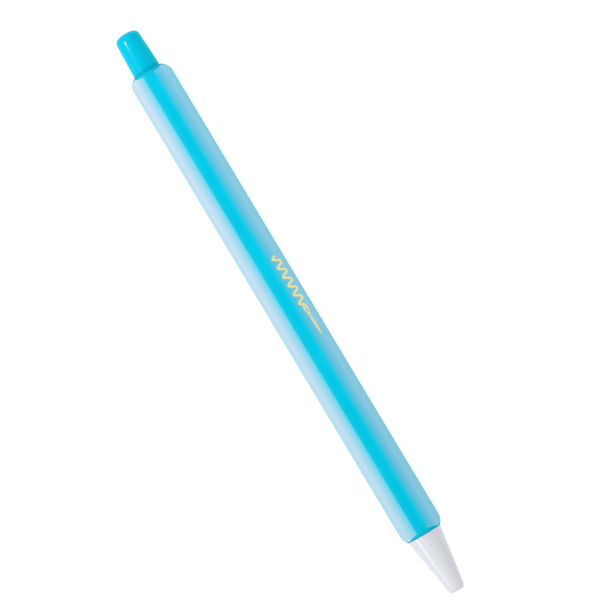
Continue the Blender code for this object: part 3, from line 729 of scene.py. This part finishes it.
def button_cap(material):
    """The push button: a low domed end that runs into a slightly convex taper, and a skirt."""
    end = BUTTON_END_X
    length = REAR_X - end
    skirt_step_x = REAR_X - 1.5 * MM
    stem_mouth_x = REAR_X - 2.2 * MM
    stem_seat_x = end + 1.75 * MM
    outline = [(end, 0.0)]
    # The side is a shallow curve, and a quarter superellipse rounds it into the domed end.
    for share in spread(0, 1, 28):
        angle = share * pi / 2
        x = end + BUTTON_DOME * (1 - cos(angle) ** DOME_POWERS[0])
        outward = sin(angle) ** DOME_POWERS[1]
        outline.append((x, BUTTON_FLAT_RADIUS + (BUTTON_TOP_RADIUS - BUTTON_FLAT_RADIUS) * outward))
    for share in spread(0, 1, 24)[1:]:
        x = end + BUTTON_DOME + (length - BUTTON_DOME) * share
        outward = 1 - (1 - share) ** BUTTON_TAPER_POWER
        outline.append((x, BUTTON_TOP_RADIUS + (BUTTON_BASE_RADIUS - BUTTON_TOP_RADIUS) * outward))
    outline += [
        (BUTTON_SKIRT_X - CHAMFER, BUTTON_BASE_RADIUS),
        (BUTTON_SKIRT_X, BUTTON_BASE_RADIUS - CHAMFER),
        (BUTTON_SKIRT_X, SKIRT_BORE + CHAMFER / 2),
        (BUTTON_SKIRT_X - CHAMFER / 2, SKIRT_BORE),
        (skirt_step_x, SKIRT_BORE),
        (stem_mouth_x, STEM_SOCKET),
        (stem_seat_x, STEM_SOCKET),
        (stem_seat_x, 0.0),
    ]
    made = revolved("button_cap", outline, material)

    # Painted shade at the button's base, beside the barrel's rim.
    def painted_shading_at(point):
        return 1 - BUTTON_BASE_SHADE * exp(-abs(REAR_X - point.x) / BUTTON_SHADE_REACH)

    return add_attribute(made, "painted_shading", painted_shading_at)


NOSE_SIDE_SHADE = 0.12  # painted shade: how much darker the cone is painted on its left side, towards the key light, which evens out how that light falls


def nose_shell(material):
    """The screw-on cone with its threaded spigot and the bore that the tip leaves by."""
    shoulder_x = FRONT_X + NOSE_GAP
    cone_x = shoulder_x + NOSE_BASE_ROUND
    round_x = NOSE_TIP_X - NOSE_TIP_ROUND
    neck = SCREW_CREST_RADIUS - THREAD_DEPTH
    thread_end_x = SPIGOT_REAR_X + THREAD_LENGTH
    taper = (NOSE_BASE_RADIUS - NOSE_TIP_RADIUS) / (round_x - shoulder_x)
    outside = []
    for turn in spread(0, pi / 2, 5):
        x = shoulder_x + NOSE_BASE_ROUND * (1 - cos(turn))
        outside.append((x, NOSE_BASE_RADIUS - NOSE_BASE_ROUND * (1 - sin(turn))))
    for x in spread(cone_x, round_x, 30)[1:]:
        outside.append((x, NOSE_BASE_RADIUS - taper * (x - cone_x)))
    end_line = outside[-1][1] - taper * NOSE_TIP_ROUND
    for share in spread(0, 1, 20)[1:]:
        u = sin(share * pi / 2)
        line = end_line + taper * NOSE_TIP_ROUND * (1 - u)
        radius = line - (end_line - NOSE_END_FACE) * (1 - sqrt(max(0.0, 1 - u**2)))
        outside.append((round_x + NOSE_TIP_ROUND * u, radius))
    inside = [(NOSE_TIP_X - x * MM, TIP_BORE + wider * MM) for x, wider in TIP_LEAD_IN]
    inside += [
        (SPRING_SEAT_X, TIP_BORE),
        (SPRING_SEAT_X, SPRING_CHAMBER),
        (SPIGOT_REAR_X, SPRING_CHAMBER),
    ]
    rest = [(thread_end_x, neck), (shoulder_x, neck)] + outside + inside
    slices = []
    for angle in spread(0, tau, ROUND_STEPS):
        thread = thread_points(angle, SPIGOT_REAR_X, thread_end_x, neck, SCREW_CREST_RADIUS)
        slices.append((angle, thread + rest))
    made = from_slices("nose_shell", slices, material)

    # Painted shade on the side towards the key light.
    def painted_shading_at(point):
        radius = hypot(point.y, point.z - AXIS_Z)
        side = max(-point.y / radius, 0) if radius > 0 else 0
        return 1 - NOSE_SIDE_SHADE * side**2

    return add_attribute(made, "painted_shading", painted_shading_at)


# ---- Click mechanism ----

FIT = 0.05 * MM  # gap between pieces that are pressed or moulded together
SOFT = 0.06 * MM  # fillet on the click mechanism's edges
RIB_COUNT = 4
TOOTH_COUNT = 8
TOOTH_HEIGHT = 0.7 * MM
SLOT_RADIUS = 2.30 * MM
SLOT_HALF = radians(27)
STEM_RADIUS = 1.66 * MM
STEM_BORE = 1.05 * MM
LUG_RADIUS = SLOT_RADIUS - 0.1 * MM
LUG_HALF = radians(7.5)
FIN_HALF = radians(6.5)
FIN_START = radians(-19.5)
LOBE_EDGE = radians(0.8)
LOBE_RISE = (0.0, 0.35, 0.75, 1.0)  # shares of that edge where its round has a point


def crown(angle):
    """Height share, 0 to 1, of a ring of teeth whose points are a little blunt."""
    phase = (angle * TOOTH_COUNT / tau) % 1
    return min(max(1.04 * (1 - abs(2 * phase - 1)) - 0.02, 0), 1)


def lobed_angles(middle, half):
    """(angle, height share of the lobe there): each lobe has steep sides with a small round."""
    pitch = tau / RIB_COUNT
    for k in range(RIB_COUNT):
        first = middle + pitch * k - half
        last = first + 2 * half
        for share in LOBE_RISE:
            yield first + LOBE_EDGE * share, sin(share * pi / 2)
        for angle in spread(first + LOBE_EDGE, last - LOBE_EDGE, 14)[1:-1]:
            yield angle, 1.0
        for share in reversed(LOBE_RISE):
            yield last - LOBE_EDGE * share, sin(share * pi / 2)
        for angle in spread(last, first + pitch, 20)[1:-1]:
            yield angle, 0.0
    yield middle + tau - half, 0.0


def lobed(name, material, middle, half, outline_at):
    """A piece with four lobes: outline_at gives the closed outline at an angle and lobe height."""
    slices = []
    for angle, height in lobed_angles(middle, half):
        slices.append((angle, rounded(outline_at(angle, height), 3)))
    return from_slices(name, slices, material)


def sleeve_outline(angle, height):
    low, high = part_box("cam_sleeve")
    rib_front_x = low.x + 9.2 * MM
    slope = ((angle % (tau / RIB_COUNT)) - SLOT_HALF) / (pi / 2 - 2 * SLOT_HALF)
    rib_x = rib_front_x - 0.4 * MM * min(max(slope, 0), 1)
    inside = SLOT_RADIUS + (WEB_RADIUS - SLOT_RADIUS) * height
    outside = (high.z - low.z) / 2
    return [
        (low.x, outside, 2 * SOFT),
        (high.x, outside, 2 * SOFT),
        (high.x, SLOT_RADIUS, SOFT),
        (rib_x, SLOT_RADIUS, 0),
        (rib_x, inside, SOFT),
        (low.x, inside, SOFT),
    ]


def plunger_outline(angle, height):
    low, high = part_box("plunger")
    lug_front_x = high.x - 1.4 * MM
    lug_rear_x = lug_front_x - 2.7 * MM
    tooth_x = high.x - TOOTH_HEIGHT * crown(angle)
    outside = STEM_RADIUS + (LUG_RADIUS - STEM_RADIUS) * height
    return [
        (low.x, STEM_BORE, SOFT),
        (low.x, STEM_RADIUS, SOFT),
        (lug_rear_x, STEM_RADIUS, 0),
        (lug_rear_x, outside, SOFT),
        (lug_front_x, outside, SOFT),
        (lug_front_x, STEM_RADIUS, 0),
        (tooth_x, STEM_RADIUS, SOFT / 2),
        (tooth_x, STEM_BORE, SOFT / 2),
    ]


def rotor_outline(angle, height):
    low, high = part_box("cam_rotor")
    fin_front_x = high.x - 1.0 * MM
    fin_rear_x = fin_front_x - 5.2 * MM
    tooth_x = low.x + 3.2 * MM + TOOTH_HEIGHT * crown(angle)
    outside = STEM_RADIUS + (LUG_RADIUS - STEM_RADIUS) * height
    from_edge = (angle - FIN_START + FIN_HALF) % (tau / RIB_COUNT)
    fin_slope = 0.3 * MM * min(from_edge / (2 * FIN_HALF), 1)
    fin_x = max(fin_rear_x + fin_slope, tooth_x + FIT)
    pin = STEM_BORE - 0.1 * MM
    return [
        (low.x, 0, 0),
        (low.x, pin, 3 * SOFT),
        (tooth_x, pin, 0),
        (tooth_x, STEM_RADIUS, SOFT / 2),
        (fin_x, STEM_RADIUS, 0),
        (fin_x, outside, SOFT),
        (fin_front_x, outside, SOFT),
        (fin_front_x, STEM_RADIUS, 0),
        (high.x, STEM_RADIUS, 2 * SOFT),
        (high.x, 0, 0),
    ]


# ---- Refill and springs ----

TUBE_RADIUS = 1.90 * MM
TUBE_BORE = 1.48 * MM
CHECK_BALL_RADIUS = 0.6 * MM
BALL_RADIUS = 0.35 * MM
POINT_RADIUS = 1.15 * MM
POINT_BORE = 0.50 * MM
POINT_CHANNEL = 0.20 * MM
POINT_INSERT_RADIUS = 0.75 * MM
POINT_INSERT_LENGTH = 3.0 * MM
SPRING_WIRE = 0.18 * MM
BALL_SPRING_WIRE = 0.06 * MM
BALL_SPRING_RADIUS = 0.34 * MM
CLOSED_TURN = 0.875  # how much of a spring's end turn is closed up
MENISCUS = 0.20 * MM


def coil(first_x, last_x, radius, wire_radius, turns, steps_per_turn=56):
    """Points of a compression spring whose first and last turns are closed up."""
    closed = wire_radius * 2.2
    open_pitch = (last_x - first_x - 2 * wire_radius - 2 * closed) / (turns - 2)
    x = first_x + wire_radius
    points = []
    for i in range(turns * steps_per_turn + 1):
        turn = i / steps_per_turn
        angle = tau * turn
        points.append(Vector((x, radius * cos(angle), radius * sin(angle))))
        # The pitch opens over a quarter turn, as a wound spring's does.
        from_end = min(turn, turns - turn) - CLOSED_TURN
        opening = min(max(from_end * 4, 0), 1)
        pitch = closed + (open_pitch - closed) * opening
        x += pitch / steps_per_turn
    return points


def return_spring(material):
    low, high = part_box("return_spring")
    radius = (high.z - low.z) / 2 - SPRING_WIRE
    return wire("fine_spring", coil(low.x, high.x, radius, SPRING_WIRE, 10), SPRING_WIRE, material)


def ball_spring(material):
    """The hair spring in the point, whose straight end holds the ball against its lip."""
    low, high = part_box("ball_spring")
    coil_end_x = high.x - 2.79 * MM
    bend = 0.35 * MM
    path = coil(low.x, coil_end_x, BALL_SPRING_RADIUS, BALL_SPRING_WIRE, 8, 40)
    last = path[-1]
    for share in spread(0, 1, 20)[1:]:
        reach = BALL_SPRING_RADIUS * (1 - share)
        angle = share * pi / 2
        x = last.x + bend * share
        path.append(Vector((x, reach * cos(angle), reach * sin(angle))))
    path.append(Vector((high.x, 0, 0)))
    return wire("hair_spring", path, BALL_SPRING_WIRE, material, sides=10)


def sphere(name, node, radius, material):
    """A true ball, turned from a half circle."""
    low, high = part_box(node)
    middle = (low.x + high.x) / 2
    half_circle = [(middle - radius * cos(turn), radius * sin(turn)) for turn in spread(0, pi, 40)]
    return revolved(name, half_circle, material, steps=80)


def tube_wall(material):
    low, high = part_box("refill_tube")
    wall = ((low.x, TUBE_BORE), (low.x, TUBE_RADIUS), (high.x, TUBE_RADIUS), (high.x, TUBE_BORE))
    return turned("tube_wall", [(x, radius, 0.12 * MM) for x, radius in wall], material)


def vent_plug(material):
    """The vented plug that the cam pushes on, with three gripping rings."""
    low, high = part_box("tail_plug")
    ring_top = TUBE_BORE - FIT
    stem = ring_top - 0.05 * MM
    flange = TUBE_RADIUS - 0.1 * MM
    flange_x = low.x + 0.95 * MM
    vent = 0.35 * MM
    outline = [
        (low.x, vent, 0.1 * MM),
        (low.x, flange, 0.15 * MM),
        (flange_x, flange, 0.1 * MM),
        (flange_x, stem, 0),
    ]
    for ring in range(3):
        x = flange_x + (0.7 + 1.0 * ring) * MM
        outline += [
            (x, stem, 0.04 * MM),
            (x + 0.15 * MM, ring_top, 0.06 * MM),
            (x + 0.45 * MM, stem, 0.04 * MM),
        ]
    outline += [(high.x, stem, 0.25 * MM), (high.x, vent, 0.1 * MM)]
    return turned("vent_plug", outline, material)


def ink_slug(material):
    """The ink, with a hollow meniscus where the grease follows it."""
    low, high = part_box("ink_column")
    radius = TUBE_BORE - FIT
    outline = [(low.x + MENISCUS * (1 - (r / 10) ** 2), radius * r / 10, 0) for r in range(11)]
    outline += [(high.x, radius, 0.05 * MM), (high.x, 0, 0)]
    return turned("ink_slug", outline, material)


def grease_slug(material):
    """The slug of grease behind the ink, with a pocket where its float lies."""
    low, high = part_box("ink_follower")
    float_low, float_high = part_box("follower_float")
    radius = TUBE_BORE - FIT
    pocket = (float_high.z - float_low.z) / 2 + FIT
    pocket_x = float_high.x + FIT
    outline = [(low.x, pocket, 0.1 * MM), (low.x + 0.15 * MM, radius, 0.1 * MM)]
    outline += [(high.x - MENISCUS * (r / 10) ** 2, radius * r / 10, 0) for r in range(10, -1, -1)]
    outline += [(pocket_x, 0, 0), (pocket_x, pocket, 0.3 * MM)]
    return turned("grease_slug", outline, material)


def float_rod(material):
    low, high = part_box("follower_float")
    radius = (high.z - low.z) / 2
    outline = [(low.x, 0, 0), (low.x, radius, 0.35 * MM), (high.x, radius, 0.35 * MM), (high.x, 0, 0)]
    return turned("float_rod", outline, material)


def point_socket(material):
    """The moulded piece between the tube and the metal point. Its shoulder carries the spring."""
    low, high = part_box("tip_holder")
    channel = 0.45 * MM
    chamber = 0.80 * MM
    neck = 1.38 * MM
    socket = POINT_INSERT_RADIUS + FIT
    flange_x = low.x + 4.05 * MM
    shoulder_x = flange_x + 2.35 * MM
    seat_x = high.x - POINT_INSERT_LENGTH
    soft = 0.10 * MM
    outline = [
        (low.x, channel, soft),
        (low.x, TUBE_BORE - FIT, 2 * soft),
        (flange_x, TUBE_BORE - FIT, 0),
        (flange_x, TUBE_RADIUS, soft),
        (shoulder_x, TUBE_RADIUS, 1.5 * soft),
        (shoulder_x, neck, 0),
        (high.x - 1.4 * MM, neck, 3 * soft),
        (high.x, POINT_RADIUS + 0.05 * MM, soft),
        (high.x, socket, 0),
        (seat_x, socket, 0),
        (seat_x, chamber, 0),
        (seat_x - 1.6 * MM, chamber, 2 * soft),
        (seat_x - 2.1 * MM, channel, soft),
    ]
    return turned("point_socket", outline, material)


def metal_point(material):
    """The metal point: a cylinder, a cone, and the lip that is rolled in to hold the ball."""
    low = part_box("tip_point")[0]
    ball_low, ball_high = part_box("tip_ball")
    ball_x = (ball_low.x + ball_high.x) / 2
    cone_x = ball_x - 2.4 * MM
    body_x = low.x + POINT_INSERT_LENGTH
    soft = 0.05 * MM
    outline = [
        (low.x, POINT_BORE, soft),
        (low.x, POINT_INSERT_RADIUS, 2 * soft),
        (body_x, POINT_INSERT_RADIUS, 0),
        (body_x, POINT_RADIUS, 2 * soft),
        (cone_x, POINT_RADIUS, 3 * soft),
        # The lip, and the cup inside it, measured from the ball's centre.
        (ball_x - 0.15 * MM, 0.50 * MM, 2 * soft),
        (ball_x + 0.12 * MM, 0.42 * MM, soft / 2),
        (ball_x + 0.12 * MM, 0.360 * MM, 0),
        (ball_x, 0.388 * MM, 0),
        (ball_x - 0.18 * MM, 0.342 * MM, 0),
        (ball_x - 0.34 * MM, POINT_CHANNEL, 0),
        (cone_x, POINT_CHANNEL, 0),
        (cone_x - 0.2 * MM, POINT_BORE, 0),
    ]
    return turned("metal_point", outline, material)


# ---- Printed motif ----


MOTIF_REAR_X = -11.9 * MM
MOTIF_FRONT_X = 7.6 * MM
MOTIF_MIDDLE = 0.95 * MM  # above the middle of the face, measured along it
MOTIF_HALF_HEIGHT = 1.25 * MM
MOTIF_WAVES = 6
EYE_LENGTH = 2.3 * MM
EYE_HALF_WIDTH = 0.58 * MM
NEEDLE_LENGTH = 7.4 * MM
NEEDLE_HALF_WIDTH = 0.46 * MM
NEEDLE_POINT = 0.04 * MM
FOIL_HALF_WIDTH = 0.25 * MM
FOIL_HEIGHT = 0.012 * MM
FOIL_STEP = 0.1  # how much higher each stroke lies than the one before, so that they don't fight


def motif_strokes():
    """The print: a sewing needle and its wavy thread, as strokes of (x, across, half width)."""
    eye_rear = MOTIF_FRONT_X - NEEDLE_LENGTH
    thread, eye, shaft = [], [], []
    for share in spread(0, 1, MOTIF_WAVES * 20):
        swing = sin(tau * MOTIF_WAVES * share) * min(1, 8 * (1 - share))
        x = MOTIF_REAR_X + (eye_rear + 0.5 * EYE_LENGTH - MOTIF_REAR_X) * share
        across = MOTIF_MIDDLE + MOTIF_HALF_HEIGHT * swing
        thread.append((x, across, FOIL_HALF_WIDTH))
    for turn in spread(0, tau, 40):
        x = eye_rear + EYE_LENGTH / 2 * (1 - cos(turn))
        eye.append((x, MOTIF_MIDDLE + EYE_HALF_WIDTH * sin(turn), 0.8 * FOIL_HALF_WIDTH))
    for share in spread(0, 1, 24):
        x = eye_rear + EYE_LENGTH + (NEEDLE_LENGTH - EYE_LENGTH) * share
        half_width = NEEDLE_HALF_WIDTH * sqrt(1 - share) + NEEDLE_POINT
        shaft.append((x, MOTIF_MIDDLE, half_width))
    return thread, eye, shaft


def foil_stroke(builder, path, height):
    """A flat domed ribbon that follows the right panel's crowned face."""
    face_angle = UP - THIRD / 2
    section = ((-1, -0.3), (-1, 0.3), (-0.75, 1), (0.75, 1), (1, 0.3), (1, -0.3))
    rows = []
    for i, (x, across, half_width) in enumerate(path):
        x0, a0 = path[max(i - 1, 0)][:2]
        x1, a1 = path[min(i + 1, len(path) - 1)][:2]
        along = Vector((x1 - x0, a1 - a0)).normalized()
        row = []
        for offset, lift in section:
            px = x - along.y * half_width * offset
            arc = across + along.x * half_width * offset
            angle = face_angle + arc / FACE_REACH
            row.append(builder.verts.new(on_axis(px, section_radius(angle) + lift * height, angle)))
        rows.append(row)
    skin(builder, rows, capped=True)


def foil_print(material):
    builder = bmesh.new()
    for level, path in enumerate(motif_strokes()):
        foil_stroke(builder, path, FOIL_HEIGHT * (1 + FOIL_STEP * level))
    return finish_mesh("foil_motif", builder, material)


# ---- Building ----


def place(piece, body, node, slot):
    """Puts a piece on its body, in the place of a CAD node. Its slot argument is not used."""
    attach(piece, body)
    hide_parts(node)
    return piece


core_material = moulded_cyan(
    "core_cyan", (0.0, 0.567, 0.75), (0.0, 0.499, 0.71), roughness=0.42, specular=0.03, grain_mm=0.0012
)
button_material = moulded_cyan(
    "button_cyan", (0.0, 0.55, 0.745), (0.0, 0.505, 0.705), roughness=0.06, specular=0.04, grain_mm=0.0001
)
# Lit and shaded copies of one frosted plastic: the left panel's copy, on the key light's side, is painted
# whiter, and the right one more saturated and brighter, as painted light and shade. The unseen bottom one
# lies between.
frost_lit_copy = frosted("frosted_left_lit", (0.0, 0.545, 0.70), (0.68, 0.605, 0.705))
frost_shaded_copy = frosted("frosted_right_shaded", (0.0, 0.62, 0.87), (0.77, 0.735, 0.82))
frost_between_copy = frosted("frosted_under_between", (0.0, 0.555, 0.76), (0.73, 0.67, 0.76))

place(barrel_core(core_material), "barrel", "barrel_core", "core_plastic")
# Each panel's milk is partly its real thickness and partly painted light: strongest on the lit left panel,
# weakest on the right.
left = panel("frosted_left", 0, frost_lit_copy, 0.72, 0.52, thinning=0.13, lower_shade=0.04, painted_front_shade=0.02)
place(left, "barrel", "panel_left", "frosted_plastic")
under = panel("frosted_bottom", 1, frost_between_copy, 0.5, 0.6)
place(under, "barrel", "panel_bottom", "frosted_plastic")
right = panel("frosted_right", 2, frost_shaded_copy, 0.37, 0.80, lower_shade=0.31, painted_front_shade=0.09)
place(right, "barrel", "panel_right", "frosted_plastic")
place(button_cap(button_material), "button", "push_button", "button_plastic")
place(nose_shell(white_plastic()), "nose", "nose_cone", "white_plastic")
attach(foil_print(gold_foil()), "barrel")

# For the pieces inside: each material's two colours, its roughness, and for metal its marks.
acetal = natural_plastic("acetal", (0.86, 0.86, 0.81), (0.80, 0.80, 0.74), 0.34)
clear = natural_plastic("clear_tube", (0.88, 0.93, 0.94), (0.80, 0.87, 0.90), 0.16, transmission=0.85)
fitting = natural_plastic("fitting", (0.78, 0.83, 0.87), (0.70, 0.76, 0.82), 0.36)
ink = fluid("blue_ink", (0.04, 0.20, 0.62), (0.015, 0.09, 0.42), 0.06)
grease = fluid("grease", (0.88, 0.86, 0.64), (0.78, 0.74, 0.48), 0.12)
steel = bare_metal("drawn_steel", (0.66, 0.66, 0.67), (0.50, 0.50, 0.52), 0.26, 9, (1, 1, 0.3))
nickel = bare_metal("turned_nickel", (0.70, 0.67, 0.60), (0.58, 0.55, 0.48), 0.24, 26, (1, 0.02, 0.02))
carbide = bare_metal("ground_carbide", (0.38, 0.38, 0.40), (0.29, 0.29, 0.31), 0.14, 14, (1, 1, 1))

rib_half = pi / RIB_COUNT - SLOT_HALF
sleeve = lobed("ribbed_sleeve", acetal, pi / RIB_COUNT, rib_half, sleeve_outline)
place(sleeve, "barrel", "cam_sleeve", "cam_plastic")
stem = lobed("toothed_stem", acetal, 0, LUG_HALF, plunger_outline)
place(stem, "button", "plunger", "cam_plastic")
cam = lobed("finned_cam", acetal, FIN_START, FIN_HALF, rotor_outline)
place(cam, "rotor", "cam_rotor", "cam_plastic")
spring = place(return_spring(steel), "front_spring", "return_spring", "spring_steel")
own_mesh(spring)
place(tube_wall(clear), "refill", "refill_tube", "refill_plastic")
place(vent_plug(fitting), "refill", "tail_plug", "holder_plastic")
place(ink_slug(ink), "refill", "ink_column", "ink")
place(grease_slug(grease), "refill", "ink_follower", "grease")
place(float_rod(clear), "refill", "follower_float", "refill_plastic")
place(point_socket(fitting), "refill", "tip_holder", "holder_plastic")
check_ball = sphere("steel_ball", "check_ball", CHECK_BALL_RADIUS, steel)
place(check_ball, "refill", "check_ball", "spring_steel")
place(metal_point(nickel), "refill", "tip_point", "point_metal")
place(ball_spring(steel), "refill", "ball_spring", "spring_steel")
tip_ball = sphere("writing_ball", "tip_ball", BALL_RADIUS, carbide)
place(tip_ball, "refill", "tip_ball", "ball_carbide")


# ---- Floor, light and camera ----


FLOOR_HALF = 6.0  # metres, far past the picture's edges
FLOOR_GREY = 0.25
FLOOR_GLOW = 0.85
# The sky's strength fades from the third number to the fourth between the first two, which are
# how far up its direction points. The same then holds sideways, as a share of that.
SKY_OVERHEAD = (0.85, 0.97, 0.93, 0.55)
SKY_SIDES = (0.2, 0.9, 1.0, 0.84)
LENS = 190.35  # mm, on Blender's usual 36 mm sensor
CAMERA_ROLL = radians(59.07)
CAMERA_EYE = Vector((28, 14, 700)) * MM
CAMERA_AIM = Vector((0.435 * MM, 3.318 * MM, AXIS_Z))


def floor():
    f = Finish("floor_white", 0.8, 0.0)
    f.set("Base Color", (FLOOR_GREY, FLOOR_GREY, FLOOR_GREY, 1))
    f.set("Emission Color", (1, 1, 1, 1))
    f.set("Emission Strength", FLOOR_GLOW)
    builder = bmesh.new()
    bmesh.ops.create_grid(builder, x_segments=8, y_segments=8, size=FLOOR_HALF)
    made = finish_mesh("floor", builder, f.material)


def studio_world():
    """White light from all round, weaker from straight overhead and from the pen's two sides."""
    world = bpy.data.worlds.new("studio")
    bpy.context.scene.world = world
    world.use_nodes = True
    background = world.node_tree.nodes["Background"]
    background.inputs["Color"].default_value = (1, 1, 1, 1)
    sky = Nodes(world.node_tree)
    direction = sky.node("TexCoord").outputs["Generated"]
    parts = sky.node("SeparateXYZ")
    sky.link(direction, parts.inputs[0])
    overhead = sky.spread(parts.outputs["Z"], *SKY_OVERHEAD, smooth=True)
    sideways = sky.maths("ABSOLUTE", parts.outputs["Y"])
    sides = sky.spread(sideways, *SKY_SIDES, smooth=True)
    sky.link(sky.maths("MULTIPLY", overhead, sides), background.inputs["Strength"])


def area_light(name, place_mm, aim_mm, size_mm, watts):
    data = bpy.data.lights.new(name, "AREA")
    data.shape = "RECTANGLE"
    data.size, data.size_y = size_mm[0] * MM, size_mm[1] * MM
    data.energy = watts
    made = add_object(name, data)
    made.location = Vector(place_mm) * MM
    toward = Vector(aim_mm) * MM - made.location
    made.rotation_euler = toward.to_track_quat("-Z", "Y").to_euler()


def camera():
    """A long lens high over the pen, a little past its nose end, rolled as the photograph is."""
    data = bpy.data.cameras.new("camera")
    made = add_object("camera", data)
    data.lens = LENS
    up = Vector((-sin(CAMERA_ROLL), cos(CAMERA_ROLL), 0))
    back = (CAMERA_EYE - CAMERA_AIM).normalized()
    across = up.cross(back).normalized()
    turn = Matrix((across, back.cross(across), back)).transposed()
    made.matrix_world = Matrix.Translation(CAMERA_EYE) @ turn.to_4x4()
    bpy.context.scene.camera = made


floor()
studio_world()
area_light("key", (-260, -420, 420), aim_mm=(-40, 0, 5), size_mm=(600, 300), watts=1.3)
area_light("nose_band", (200, -428, 215), aim_mm=(62, -1, 7), size_mm=(60, 40), watts=0.14)
area_light("button_spark", (-184, -284, 403), aim_mm=(-67, -1, 7), size_mm=(14, 14), watts=0.28)
camera()
bpy.context.scene.view_settings.view_transform = "Standard"

bpy.context.view_layer.update()
